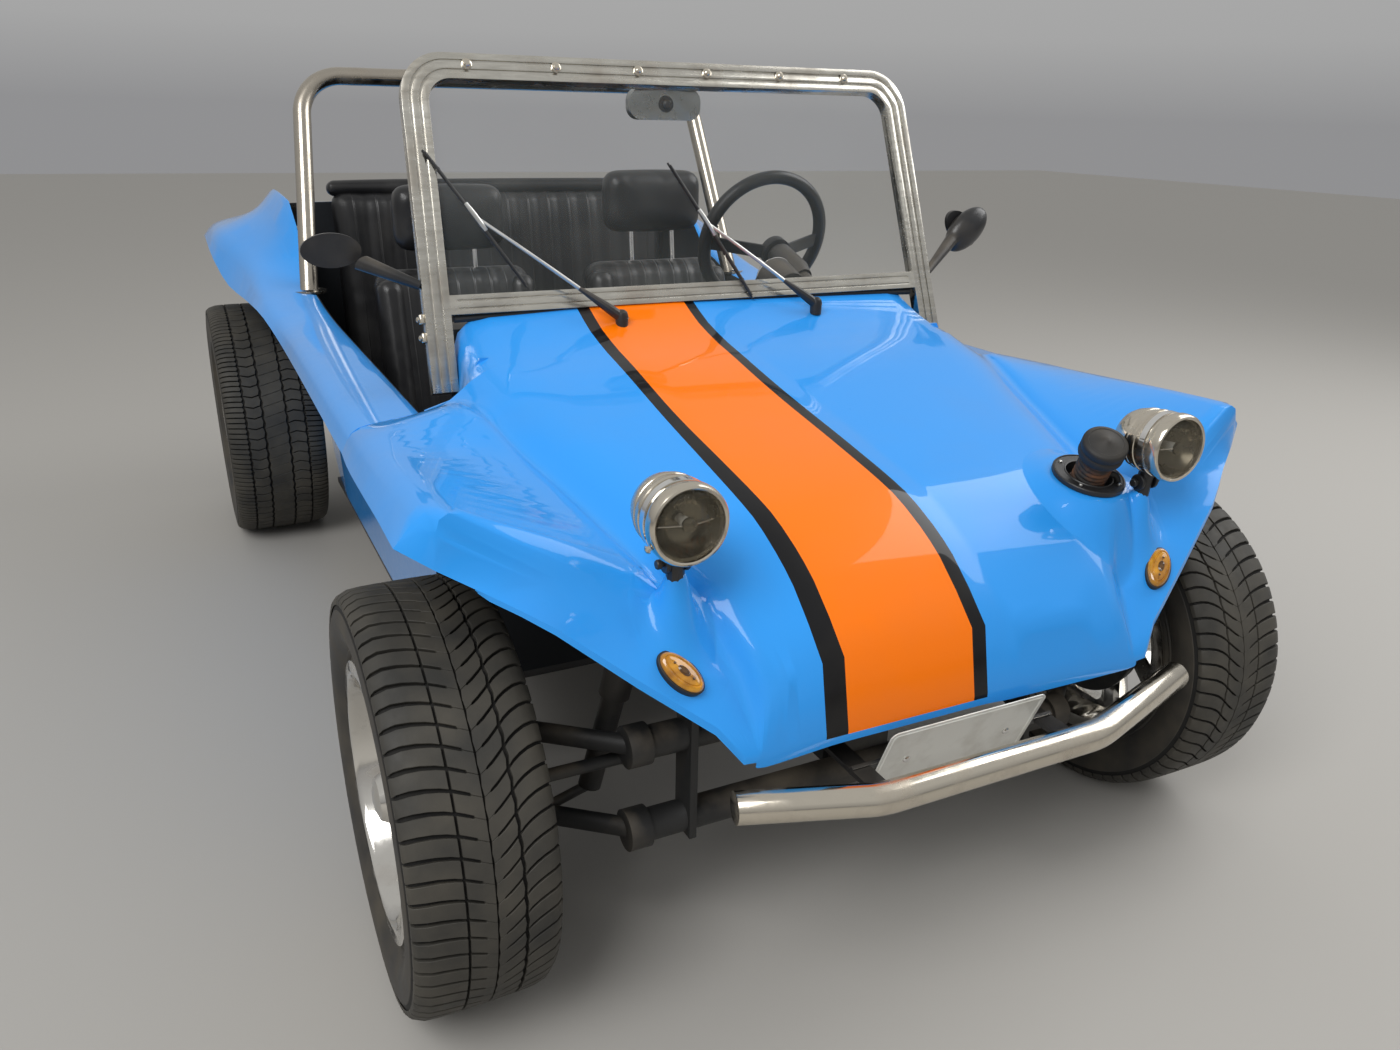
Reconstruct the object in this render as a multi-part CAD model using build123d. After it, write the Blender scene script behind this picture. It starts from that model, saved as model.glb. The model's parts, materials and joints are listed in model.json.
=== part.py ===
from build123d import *
import math
import os

# A four-seat, rear-engined beach buggy: a moulded open body on a shortened floor pan, in millimetres.
# The front faces -Y, the car's left is +X, and the ground is z = 0. Heights are above the ground.
# Places along the car are given behind the front axle, and back() turns them into Y.

WHEELBASE = 2100
FRONT_AXLE_Y = -1100
REACH = 1550                     # from the middle of the car to its foremost and rearmost points

FRONT_TYRE_R, FRONT_TYRE_W, FRONT_HALF_TRACK = 310, 200, 681
REAR_TYRE_R, REAR_TYRE_W, REAR_HALF_TRACK = 343, 260, 703
FRONT_RIM_W, REAR_RIM_W = 178, 230
RIM_SEAT_R, RIM_FLANGE_R = 190, 205
DRUM_R = 125
KINGPIN_X = 575                  # half the distance between the steering axes
STEER_ARM = 90                   # from the steering axis forward to the track rod's eye
SPINDLE_R, HUB_BORE_R = 17, 17.3

BODY_WALL = 6                    # moulded glass fibre
PAN_BOTTOM, PAN_TOP = 235, 250   # steel floor pan
TUNNEL_HALF, TUNNEL_TOP = 60, 340
SILL_X = 558                     # outer face of the cockpit wall at the floor
FOOTWELL_Y = 385                 # the lower body starts here, behind the steered front tyres

HOOP_TUBE_R, BUMPER_TUBE_R, BEAM_TUBE_R = 22, 22, 25
BEAM_Y = -130                    # front suspension beam, ahead of the axle
LOWER_BEAM_Z, UPPER_BEAM_Z = 240, 385
CRANK_Z = REAR_TYRE_R            # the engine's crankshaft is level with the rear axle

# A panel of the hood stands proud of it. Its edges run almost straight, the left one turning outwards.
PANEL_SLOPE = 42                 # width of the sloping edge
PANEL_RIGHT_X = -262             # foot of the edge on the car's right
PANEL_LEFT_X, PANEL_TURN = 41, -0.1164

# The windscreen is a flat frame leaning back, drawn from the middle of its lower rail.
RAKE = math.radians(20.4)
RAIL_PLACE = (507, 924)
SCREEN_HALF_FOOT, SCREEN_HALF_TOP, SCREEN_CORNER_R = 545, 523, 80
SCREEN_FOOT, SCREEN_TOP = -150, 437
FRAME_BAR, FRAME_HALF_DEPTH, RAIL_HEIGHT = 45, 12, 34
GROOVES = ((12, 17), (28, 33))   # from and to, in from the frame's outer edge

SEAT_X = 275
WHEEL_CENTRE = (335, 870, 974)   # steering wheel: x, place behind the axle, height
WHEEL_RIM_R, WHEEL_GRIP_R, WHEEL_DISH = 150, 15, 60
COLUMN_SLOPE = math.radians(18.6)
LAMP = (412, -302, 788)          # middle of the left headlamp's face
PEDESTAL = (405, -245)
INDICATOR = (418, -287, 592)
FILLER = (345, -188, 704)        # where the filler neck leaves the hood
FILLER_CAP = (323, -235, 785)


def back(y):
    """Y of a place given behind the front axle."""
    return FRONT_AXLE_Y + y


def both_sides(part):
    """A part on the car's left, and its mirror image."""
    return [part, mirror(part, about=Plane.YZ)]


def rod(start, end, radius, end_radius=None):
    """A round bar between two points given by x, place behind the axle and height, tapered if asked."""
    (x0, y0, z0), (x1, y1, z1) = start, end
    start, end = Vector(x0, back(y0), z0), Vector(x1, back(y1), z1)
    base = Plane(origin=start, z_dir=end - start)
    if end_radius:
        return Solid.make_cone(radius, end_radius, (end - start).length, base)
    return Solid.make_cylinder(radius, (end - start).length, base)


def block(x0, x1, y0, y1, z0, z1):
    """A box between pairs of limits, with y behind the front axle."""
    return Pos(x0, back(y0), z0) * Box(x1 - x0, y1 - y0, z1 - z0, align=(Align.MIN, Align.MIN, Align.MIN))


def cushion(x, y, z, width, depth, height, tilt=0):
    """A rounded box about its middle, leaning back by some degrees."""
    box = Box(width, depth, height)
    return Pos(x, back(y), z) * Rot(-tilt, 0, 0) * fillet(box.edges(), min(depth, height) * 0.3)


def bent_tube(points, bend, radius):
    """A round tube along straight runs with equal bends."""
    path = FilletPolyline(*[(x, back(y), z) for x, y, z in points], radius=bend)
    return sweep(Plane(origin=path @ 0, z_dir=path % 0) * Circle(radius), path=path)


def turned(profile):
    """A solid of revolution about Z from (radius, height) points."""
    return revolve(Plane.XZ * make_face(Polyline(*profile, close=True)), axis=Axis.Z)


def largest(shape):
    """The main solid of a shape, without the slivers that a cut leaves on its far side."""
    return max(shape.solids(), key=lambda solid: solid.volume)


# Moulded walls. A table gives a few sections of the outside, smooth curves carry their corners from one
# section to the next, and every corner is rounded by its own cut.

def slopes(places, values):
    """Slope at each place of a curve through the values that doesn't overshoot them."""
    steps = [(v2 - v1) / (p2 - p1) for p1, p2, v1, v2 in zip(places, places[1:], values, values[1:])]
    inner = [0 if a * b <= 0 else 2 * a * b / (a + b) for a, b in zip(steps, steps[1:])]
    return [steps[0], *inner, steps[-1]]


def more_rows(rows, spacing):
    """A table's rows with more rows between them, about as far apart as the spacing."""
    places, *columns = zip(*rows)
    column_slopes = [slopes(places, column) for column in columns]
    result = []
    for i, (near, far) in enumerate(zip(places, places[1:])):
        count = max(1, round(abs(far - near) / spacing))
        for step in range(count):
            t, gap = step / count, far - near
            start, end = (1 + 2 * t) * (1 - t) ** 2, t * t * (3 - 2 * t)
            leave, arrive = t * (1 - t) ** 2 * gap, t * t * (t - 1) * gap
            result.append([near + gap * t] + [
                value[i] * start + value[i + 1] * end + slope[i] * leave + slope[i + 1] * arrive
                for value, slope in zip(columns, column_slopes)])
    return result + [rows[-1]]


def flat(row):
    """A table's row of numbers and (x, z) pairs as plain numbers."""
    return [number for entry in row for number in (entry if isinstance(entry, tuple) else (entry,))]


def points_of(numbers):
    return [Vector(x, z) for x, z in zip(numbers[::2], numbers[1::2])]


def soften(points, cuts):
    """Rounds each inner corner of a polyline by its own cut, with four points on a curve."""
    result = [points[0]]
    for before, corner, after, cut in zip(points, points[1:], points[2:], cuts):
        a, b = before - corner, after - corner
        start = corner + a.normalized() * min(cut, a.length * 0.45)
        end = corner + b.normalized() * min(cut, b.length * 0.45)
        result += [start * (1 - t) ** 2 + corner * (2 * t * (1 - t)) + end * t ** 2
                   for t in (0, 1 / 3, 2 / 3, 1)]
    return result + [points[-1]]


def inner_face(points, before, after, gap, wall, deepest=3):
    """The wall's other face, square to a surface that also falls away from one section to the next."""
    alongs = [(end - start).normalized() for start, end in zip(points, points[1:])]
    normals = [Vector(along.Y, -along.X) for along in alongs]
    result = []
    for point, n1, n2, p1, p2 in zip(points, normals[:1] + normals, normals + normals[-1:], before, after):
        inward = (n1 + n2).normalized()
        fall = inward.dot(p2 - p1) / gap
        depth = wall * min(math.hypot(1, fall), deepest)
        result.append(point + inward * (depth / max(inward.dot(n1), 0.5)))
    return result


def moulding(outlines, wall=BODY_WALL):
    """A wall of even thickness under outlines across the car, each (y, points) with the outside on its left."""
    rings = []
    for i, (y, points) in enumerate(outlines):
        (y1, before), (y2, after) = outlines[max(i - 1, 0)], outlines[min(i + 1, len(outlines) - 1)]
        ring = points + inner_face(points, before, after, y2 - y1, wall)[::-1]
        rings.append(Wire.make_polygon([Vector(p.X, back(y), p.Y) for p in ring], close=True))
    return Solid.make_loft(rings, ruled=True)


# Front moulding. Each row is one section: place behind the axle, height of the hood's raised panel and how
# proud it stands, then x, z of the hood's shoulder, the valley beside it, the fender's inner crease, its
# outer crest and its lower edge.
FRONT_SECTIONS = (
    # y, panel, proud, shoulder, valley,  inner crease, outer crest, lower edge
    (348, 859, 2, (474, 854), (538, 800), (562, 786), (700, 768), (718, 728)),
    (281, 845, 3, (455, 842), (520, 802), (540, 811), (699, 775), (722, 729)),
    (100, 797, 4, (420, 795), (478, 757), (500, 768), (695, 792), (728, 740)),
    (-29, 763, 6, (390, 761), (448, 724), (471, 738), (692, 803), (731, 748)),
    (-150, 727, 7, (358, 725), (420, 690), (444, 709), (689, 810), (735, 755)),
    (-178, 714, 7, (350, 711), (412, 676), (438, 703), (686, 811), (694, 731)),
    (-212, 695, 8, (341, 692), (395, 640), (430, 695), (535, 706), (638, 702)),
    (-257, 663, 8, (331, 659), (355, 598), (398, 612), (485, 638), (568, 663)),
    (-295, 625, 9, (318, 620), (335, 560), (370, 569), (425, 580), (476, 590)),
    (-332, 582, 9, (303, 576), (331, 510), (345, 513), (365, 517), (385, 521)),
    (-352, 482, 3, (326, 478), (333, 479), (340, 480), (347, 481), (354, 482)),
)
COWL_SECTIONS = (
    # y, panel, proud, shoulder, foot of the side wall
    (342, 857.5, 2, (472, 852.6), (530, 800)),
    (348, 859, 2, (474, 854), (528, 799)),
    (430, 882, 2, (485, 875), (501, 788)),
    (503, 915, 2, (487, 906), (501, 770)),
)
HALF_CUTS = (60, 26, 18, 34)         # shoulder, valley, inner crease, outer crest
PANEL_CUTS = (8, 16, 18, 8)          # foot and top on the car's right, top and foot on its left


def hood_outline(y, panel, proud, *numbers):
    """Outline from the car's right to its left, through the raised panel of the hood."""
    half = points_of(numbers)
    left_foot = PANEL_LEFT_X + PANEL_TURN * y
    middle = [Vector(x, panel - drop) for x, drop in (
        (PANEL_RIGHT_X, proud), (PANEL_RIGHT_X + PANEL_SLOPE, 0), (left_foot - PANEL_SLOPE, 0), (left_foot, proud))]
    half[0] = half[0] - Vector(0, proud)
    cuts = HALF_CUTS[:len(half) - 1]
    outline = [Vector(-p.X, p.Y) for p in half[::-1]] + middle + half
    return y, soften(outline, cuts[::-1] + PANEL_CUTS + cuts)


def pedestal(shrink=0):
    """Blunt dome under a headlamp, smaller all round by a wall's thickness for its hollow."""
    dome = ((30, 704), (41, 695), (45, 680), (47, 640), (49, 600), (49, 560 - 3 * shrink))
    profile = [(0, 706 - shrink)] + [(r - shrink, z - shrink) for r, z in dome] + [(0, 560 - 4 * shrink)]
    return Pos(PEDESTAL[0], back(PEDESTAL[1]), 0) * turned(profile)


def pedestal_walls():
    """The domes, cut off where they reach through the fender's sloping front."""
    foot = Plane(origin=(398, back(-257), 600), z_dir=(-0.31, -1.33, 1))
    return both_sides(split(pedestal(), bisect_by=foot, keep=Keep.TOP))


def body_front(screen):
    """Hood and front fenders in one shell, with the cowl behind and the bulkhead under it."""
    shell = moulding([hood_outline(*row) for row in more_rows([flat(row) for row in FRONT_SECTIONS], 28)])
    cowl = moulding([hood_outline(*row) for row in more_rows([flat(row) for row in COWL_SECTIONS], 45)])
    half = [(477, 856), (514, 793), (574, 775), (SILL_X - BODY_WALL, PAN_TOP)]
    across = [(-x, z) for x, z in half[::-1]] + half
    bulkhead = extrude(Plane.XZ.offset(-back(FOOTWELL_Y)) * Polygon(*across, align=None), amount=BODY_WALL)
    tunnel_hole = block(-66, 66, 370, 400, PAN_TOP - 20, TUNNEL_TOP + 6)
    filler_hole = Pos(FILLER[0], back(FILLER[1]), FILLER[2]) * Cylinder(42, 120)
    shell = shell + [cowl, bulkhead - tunnel_hole, *pedestal_walls()]
    return largest(shell - [filler_hole, *both_sides(pedestal(BODY_WALL)), screen])


# Each side moulding: place, then x, z of the lower edge, the outer crest, the shoulder, the cockpit rim
# and the foot of the cockpit wall.
SIDE_SECTIONS = (
    # y,    lower edge, crest,      shoulder,   rim,        foot
    (348, (718, 728), (700, 768), (640, 776), (583, 784), (SILL_X, PAN_TOP)),
    (1171, (712, 731), (700, 768), (640, 775), (583, 782), (SILL_X, PAN_TOP)),
    (1500, (735, 768), (712, 800), (645, 803), (583, 800), (SILL_X, PAN_TOP)),
    (1700, (748, 766), (716, 835), (650, 850), (586, 880), (548, PAN_TOP)),
    (1870, (772, 776), (735, 862), (655, 905), (592, 1008), (548, 400)),
    (2100, (800, 850), (778, 898), (655, 955), (600, 1022), (552, 640)),
    (2300, (800, 868), (770, 905), (650, 935), (600, 985), (556, 780)),
    (2450, (775, 800), (750, 862), (650, 885), (600, 915), (575, 800)),
)
SIDE_CUTS = (20, 34, 26)             # rim, shoulder, crest


def body_side(pan):
    """Side shelf, rear fender and cockpit wall on the car's left, closed behind."""
    rows = more_rows([flat(row) for row in SIDE_SECTIONS], 75)
    outlines = [(y, soften(points_of(numbers)[::-1], SIDE_CUTS)) for y, *numbers in rows]
    y, outline = outlines[-1]
    tail = Face(Wire.make_polygon([Vector(p.X, back(y), p.Y) for p in outline], close=True))
    tail = Solid.extrude(tail, Vector(0, -BODY_WALL, 0))
    tyre_room = block(500, 600, 340, FOOTWELL_Y, 200, 690)
    return largest(moulding(outlines) - tyre_room + tail - pan)


def rear_deck(side):
    """Deck between the rear fenders, with the bulkhead behind the bench."""
    deck = moulding([(y, soften([Vector(-x, z), Vector(0, z + 12), Vector(x, z)], [30]))
                     for y, x, z in ((1899, 598, 990), (2300, 590, 950), (2440, 592, 880))])
    bulkhead = block(-545, 545, 1896, 1902, 490, 992)
    return largest(deck + bulkhead - both_sides(side))


SCREEN_PLANE = Plane(origin=(0, back(RAIL_PLACE[0]), RAIL_PLACE[1]), x_dir=(1, 0, 0),
                     z_dir=(0, -math.cos(RAKE), math.sin(RAKE)))


def screen_band(outer, inner):
    """Flat band that follows the windscreen frame, between two distances in from its outer edge."""
    lines = []
    for inset in (outer, inner):
        foot, top = SCREEN_HALF_FOOT - inset, SCREEN_HALF_TOP - inset
        corners = (-foot, SCREEN_FOOT), (-top, SCREEN_TOP - inset), (top, SCREEN_TOP - inset), (foot, SCREEN_FOOT)
        lines.append(FilletPolyline(*corners, radius=SCREEN_CORNER_R - 0.8 * inset))
    feet = [Line(lines[0] @ end, lines[1] @ end) for end in (0, 1)]
    return make_face([*lines[0].edges(), *lines[1].edges(), *feet])


def windscreen_frame():
    """Grooved aluminium frame with its lower rail, its posts running down past the rail."""
    sketch = screen_band(0, FRAME_BAR) + Rectangle(1000, RAIL_HEIGHT)
    frame = extrude(SCREEN_PLANE * sketch, amount=FRAME_HALF_DEPTH, both=True)
    grooves = [screen_band(*limits) for limits in GROOVES] + [Pos(0, v) * Rectangle(960, 3) for v in (-7, 7)]
    for side in (-1, 1):
        face = SCREEN_PLANE.offset(side * (FRAME_HALF_DEPTH - 3))
        frame -= [extrude(face * groove, amount=side * 5) for groove in grooves]
    return frame


def windscreen_glass(frame):
    pane = Polygon((-500, 17), (500, 17), (487, 392), (-487, 392), align=None)
    return largest(extrude(SCREEN_PLANE * pane, amount=2.5, both=True) - frame)


def on_screen(across, up, off):
    """A place given along the windscreen's plane and ahead of it, as x, behind the axle and height."""
    point = SCREEN_PLANE.from_local_coords((across, up, off))
    return point.X, point.Y - FRONT_AXLE_Y, point.Z


# Wipers parked across the glass: pivot, joint of arm and blade, and the blade's ends, as places along the
# windscreen's plane and ahead of it.
WIPERS = (
    # pivot,         joint,           blade's top,     blade's foot
    ((-196, -48, 52), (-429, 149, 19), (-504, 267, 17), (-353, 24, 17)),
    ((218, -47, 53), (19, 129, 19), (-44, 245, 17), (100, -20, 18)),
)


def wiper(pivot, joint, top, foot, front):
    x, y, z = on_screen(*pivot)
    spindle = rod((x, y, z - 20), (x, y, z + 9), 11)
    arm = rod((x, y, z), on_screen(*joint), 5)
    blade = rod(on_screen(*top), on_screen(*foot), 3.5)
    return largest(spindle - front) + arm + blade


def outer_mirror(side, foot, head, tilt, frame):
    """Oval head on a tapered arm from the windscreen post."""
    x, y, z = head
    shell = Pos(side * x, back(y), z) * Rot(0, side * tilt, 0) * scale(Sphere(50), by=(1.2, 0.5, 0.72))
    arm = rod((side * foot[0], *foot[1:]), (side * (x - 30), y, z - 12), 8, 15)
    return largest(shell + arm - frame)


def inner_mirror(frame):
    head = Pos(-12, back(672), 1262) * fillet(Box(150, 22, 58).edges().filter_by(Axis.Y), 24)
    return largest(head + rod((-12, 672, 1262), (-12, 656, 1318), 6) - frame)


def roll_bar(side):
    """Chrome hoop behind the front seats, leaning back from its feet on the side mouldings."""
    half = [(603, 1538, 801), (545, 1735, 1316)]
    hoop = bent_tube([(-x, y, z) for x, y, z in half] + half[::-1], 110, HOOP_TUBE_R)
    feet = [Pos(x, back(1540), 803) * Cylinder(42, 6) for x in (-603, 603)]
    return largest(hoop + feet - both_sides(side))


# The number plate hangs from the nose, its foot swung back.
PLATE_TILT = 22
PLATE_PLACE = Pos(0, back(-335), 377) * Rot(PLATE_TILT, 0, 0)


def front_bumper():
    """Chrome tube swept back at its ends, on two brackets from the beam."""
    half = [(440, -352, 425), (190, -428, 418)]
    tube = bent_tube([(-x, y, z) for x, y, z in half] + half[::-1], 150, BUMPER_TUBE_R)
    brackets = [block(x - 15, x + 15, -412, -154, 400, 408) for x in (-165, 165)]
    return tube + brackets + PLATE_PLACE * Pos(0, 4.5, 29) * Box(360, 6, 14)


def front_plate():
    return PLATE_PLACE * Box(275, 3, 200)


def lamp_plane():
    """The left headlamp's face, with its axis running back into the housing."""
    return Plane(origin=(LAMP[0], back(LAMP[1]), LAMP[2]), x_dir=(1, 0, 0), z_dir=(0, 1, 0))


def headlamps(front):
    """Bullet housing with a front ring, a raised band and a reflector bowl, clamped on its pedestal."""
    shell = turned((
        (0, 112), (17, 110), (31, 103), (41, 91), (47, 75), (49, 62), (51, 60), (51, 54), (49, 52), (50, 18),
        (53, 16), (54, 7), (51, 1), (46, 0), (46, 7), (43, 9), (34, 24), (19, 34), (0, 38)))
    post = rod((406, -245, 696), (410, -250, 745), 11)
    clamp = Pos(408, back(-249), 722) * Box(30, 26, 16) + rod((386, -249, 722), (430, -249, 722), 5)
    return both_sides(largest(lamp_plane() * shell + post + clamp - front))


def headlamp_lenses():
    lens = turned(((0, -6), (20, -4), (36, -1), (45.7, 3), (45.7, 6), (36, 2), (20, -1), (0, -3)))
    return both_sides(lamp_plane() * lens)


def indicators(front):
    """Tilted oval lamps lying on the fender fronts."""
    x, y, z = INDICATOR
    face = Plane(origin=(x, back(y), z), x_dir=(0.63, 0.455, 0.63), z_dir=(-0.16, -0.72, 0.67)).offset(-12)
    lamp = extrude(face * Ellipse(36, 20), amount=16) + extrude(face * Ellipse(33, 17), amount=23)
    return both_sides(largest(lamp - front))


def tail_lamps():
    lamp = turned(((0, 0), (38, 0), (38, 22), (33, 28), (20, 31), (0, 32)))
    return both_sides(Pos(690, back(2451), 835) * Rot(-90, 0, 0) * lamp)


def fuel_filler(front):
    """Ribbed neck and thick cap leaning out of a flanged ring in the hood."""
    base, top = [Vector(x, back(y), z) for x, y, z in (FILLER, FILLER_CAP)]
    length = (top - base).length
    ribs = [(r, z + dz) for z in range(8, int(length) - 16, 9) for r, dz in ((25, 0), (28, 2), (28, 5), (25, 7))]
    cap = [(r, length + dz) for r, dz in (
        (25, -12), (34, -12), (36, -10), (36, 0), (34, 2), (36, 4), (36, 14), (33, 17), (0, 17))]
    neck = turned([(0, -60), (25, -60), *ribs, *cap])
    neck = Plane(origin=base, z_dir=top - base) * neck
    cup = Pos(*base) * (Cylinder(41.5, 40) - Pos(0, 0, 3) * Cylinder(38, 40))
    ring = Pos(*base) * Pos(0, 0, 19) * Rot(15, 0, 0) * (Cylinder(58, 8) - Cylinder(38, 8))
    return largest(neck + cup + ring - front)


def fuel_tank(filler):
    outlet = rod((270, -110, 600), (352, -158, 640), 22)
    return cushion(0, 75, 560, 580, 450, 160) + outlet - filler


def seat(x):
    """Bucket seat with its headrest."""
    posts = [rod((x + dx, 1377, 840), (x + dx, 1380, 960), 7) for dx in (-60, 60)]
    bolsters = [cushion(x + dx, 1015, 383, 70, 400, 88) for dx in (-170, 170)]
    return cushion(x, 1045, 335, 410, 490, 170) + bolsters + cushion(x, 1325, 640, 410, 110, 500, 14) + \
        cushion(x, 1380, 1016, 290, 88, 145) + posts


def rear_bench(pan):
    return cushion(0, 1627, 355, 940, 194, 210) + cushion(0, 1790, 723, 1000, 90, 665, 8) - pan


# The steering wheel's plane, with its axis along the column towards the driver and its y_dir downwards.
WHEEL_PLANE = Plane(origin=(WHEEL_CENTRE[0], back(WHEEL_CENTRE[1]), WHEEL_CENTRE[2]), x_dir=(1, 0, 0),
                    z_dir=(0, math.cos(COLUMN_SLOPE), math.sin(COLUMN_SLOPE)))
COLUMN_TOP = -WHEEL_DISH - 17


def steering_column():
    """Shrouded column from the wheel's hub down through the dashboard to the bulkhead."""
    shroud = turned(((0, 0), (26, 0), (30, -8), (30, -90), (22, -120), (17, -120), (17, -415), (0, -415)))
    return WHEEL_PLANE * Pos(0, 0, COLUMN_TOP) * shroud


def steering_wheel():
    """Thick rim on three wide spokes that run down to a dished hub, at 9, 3 and 6 o'clock."""
    hub_edge, slant = 26, math.degrees(math.atan2(WHEEL_DISH, WHEEL_RIM_R - 26))
    spoke = Pos((hub_edge + WHEEL_RIM_R) / 2, 0, -WHEEL_DISH / 2) * Rot(0, -slant, 0) * Box(140, 30, 6)
    hub = Pos(0, 0, -WHEEL_DISH) * turned(((0, -12), (34, -12), (34, 8), (28, 14), (0, 16)))
    return WHEEL_PLANE * (Torus(WHEEL_RIM_R, WHEEL_GRIP_R) + [Rot(0, 0, a) * spoke for a in (0, 90, 180)] + hub)


def dashboard():
    """Panel with its top shelf, two small gauges and a round instrument standing on the shelf."""
    panel = block(-495, 495, 524, 530, 700, 880) + block(-495, 495, 526, 596, 874, 880)
    gauges = [rod((x, 529, 815), (x, 540, 815), 27) for x in (60, 130)]
    pod = rod((236, 572, 908), (236, 640, 926), 36, 42)
    return panel + gauges + pod - WHEEL_PLANE * Cylinder(17, 1200)


def hand_controls():
    """Gear lever and handbrake on the tunnel."""
    knob = Pos(0, back(740), 565) * Sphere(19)
    lever = rod((0, 800, 346), (0, 740, 560), 7) + block(-22, 22, 778, 822, TUNNEL_TOP, TUNNEL_TOP + 12) + knob
    brake = rod((0, 1000, 350), (0, 900, 440), 9) + rod((0, 900, 440), (0, 960, 386), 13)
    return lever + (brake + block(-12, 12, 985, 1015, TUNNEL_TOP, TUNNEL_TOP + 16))


def pedals():
    return [block(x - 25, x + 25, 400, 415, 360, 420) + rod((x, 410, PAN_TOP), (x, 410, 365), 6)
            for x in (WHEEL_CENTRE[0] + dx for dx in (-100, 0, 90))]


def floor_pan():
    """Pan ribbed below, with its centre tunnel and frame head."""
    pan = block(-SILL_X - 4, SILL_X + 4, FOOTWELL_Y, 1700, PAN_BOTTOM, PAN_TOP)
    ribs = [block(x - 12, x + 12, 430, 1660, PAN_BOTTOM - 6, PAN_BOTTOM) for x in (-450, -310, -170, 170, 310, 450)]
    tunnel = block(-TUNNEL_HALF, TUNNEL_HALF, 150, 1745, PAN_TOP - 10, TUNNEL_TOP)
    head = block(-TUNNEL_HALF, TUNNEL_HALF, -99, 150, PAN_TOP - 10, TUNNEL_TOP - 18)
    return pan + ribs + tunnel + head


def front_beam():
    """Two beam tubes with upright plates and shock towers, and the trailing arms to the kingpins."""
    beam = block(-50, 50, -125, -108, 225, 400) + block(-50, 50, -110, -99, 225, 320)
    for z in (LOWER_BEAM_Z, UPPER_BEAM_Z):
        beam += rod((-400, BEAM_Y, z), (400, BEAM_Y, z), BEAM_TUBE_R)
        for side in (-1, 1):
            beam += [rod((side * 395, BEAM_Y, z), (side * 430, BEAM_Y, z), 32),
                     rod((side * 415, BEAM_Y, z), (side * KINGPIN_X, 0, z), 15),
                     Pos(side * KINGPIN_X, FRONT_AXLE_Y, z) * Cylinder(25, 32)]
    for x in (-330, 330):
        beam += [block(x - 6, x + 6, -160, -108, 215, 575), block(x - 6, x + 6, -109, -30, 430, 575)]
    return beam


def front_dampers(beam):
    """Telescopic damper with its pins into the lower arm and the tower."""
    damper = rod((450, -35, 268), (408, -47, 440), 18) + rod((412, -46, 425), (380, -55, 560), 24)
    pins = [rod((440, -35, 272), (532, -35, 244), 8), rod((330, -55, 548), (385, -55, 548), 8)]
    return both_sides(damper + pins - beam)


def drum(x0, x1, y, z):
    """Brake drum between two places across the car, with a lip on its inner side."""
    lip = x0 + (x1 - x0) * 0.2
    return rod((x0, y, z), (lip, y, z), DRUM_R) + rod((lip, y, z), (x1, y, z), DRUM_R - 8)


def knuckle():
    """Upright with its spindle, drum and steering arm."""
    arm_eyes = 16 + 6                # half an eye's height and a washer, above and below
    low, high = LOWER_BEAM_Z + arm_eyes, UPPER_BEAM_Z - arm_eyes
    upright = Pos(KINGPIN_X, FRONT_AXLE_Y, (low + high) / 2) * Cylinder(20, high - low)
    spindle = rod((KINGPIN_X, 0, FRONT_TYRE_R), (705, 0, FRONT_TYRE_R), SPINDLE_R)
    arm = block(KINGPIN_X - 12, KINGPIN_X + 12, -STEER_ARM - 12, 0, 311, 325)
    return upright + spindle + drum(606, 640, 0, FRONT_TYRE_R) + arm


def track_rods():
    """Track rod ahead of the axle, its eyes just above the steering arms."""
    bar = rod((-KINGPIN_X, -STEER_ARM, 342), (KINGPIN_X, -STEER_ARM, 342), 10)
    eyes = [Pos(x, back(-STEER_ARM), 342) * Cylinder(15, 22) for x in (-KINGPIN_X, KINGPIN_X)]
    return bar + eyes


def rear_axle():
    """Torsion housing, spring plates, axle tubes and drums."""
    axle = rod((-430, 1790, 300), (430, 1790, 300), 45)
    for side in (-1, 1):
        axle += [rod((side * 425, 1790, 300), (side * 480, 1790, 300), 62),
                 block(side * 470 - 5, side * 470 + 5, 1760, 2110, 275, 335),
                 rod((side * 95, WHEELBASE, CRANK_Z), (side * 582, WHEELBASE, CRANK_Z), 32),
                 rod((side * 555, WHEELBASE, CRANK_Z), (side * 727, WHEELBASE, CRANK_Z), SPINDLE_R),
                 drum(side * 580, side * 640, WHEELBASE, CRANK_Z)]
    return axle


def transaxle():
    """Closed gearbox: a nose, a body with its axle bosses, and a bell that meets the engine."""
    nose = rod((0, 1838, CRANK_Z), (0, 1960, CRANK_Z), 58, 80)
    bell = rod((0, 2129, CRANK_Z), (0, 2200, CRANK_Z), 93, 130)
    return nose + block(-94, 94, 1950, 2130, 250, 440) + bell


def cylinder_bank(side, y):
    """One finned cylinder, as thin square plates on a core."""
    bank = rod((side * 75, y, CRANK_Z), (side * 250, y, CRANK_Z), 42)
    first, pitch, count, half = 100, 13, 10, 54
    for x in (first + pitch * i for i in range(count)):
        bank += block(side * x - 2, side * x + 2, y - half, y + half, CRANK_Z - half, CRANK_Z + half)
    return bank


def fan_shroud():
    """Sheet housing across the engine, round over its fan and sloping down to both banks of cylinders."""
    half = [(0, 440), (292, 440), (292, 520), (200, 560), (150, 640)]
    across = [(-x, z) for x, z in half[:0:-1]] + half
    outline = Polygon(*across, align=None) + Pos(0, 625) * Circle(150)
    return extrude(Plane.XZ.offset(-back(2330)) * outline, amount=90)


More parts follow.
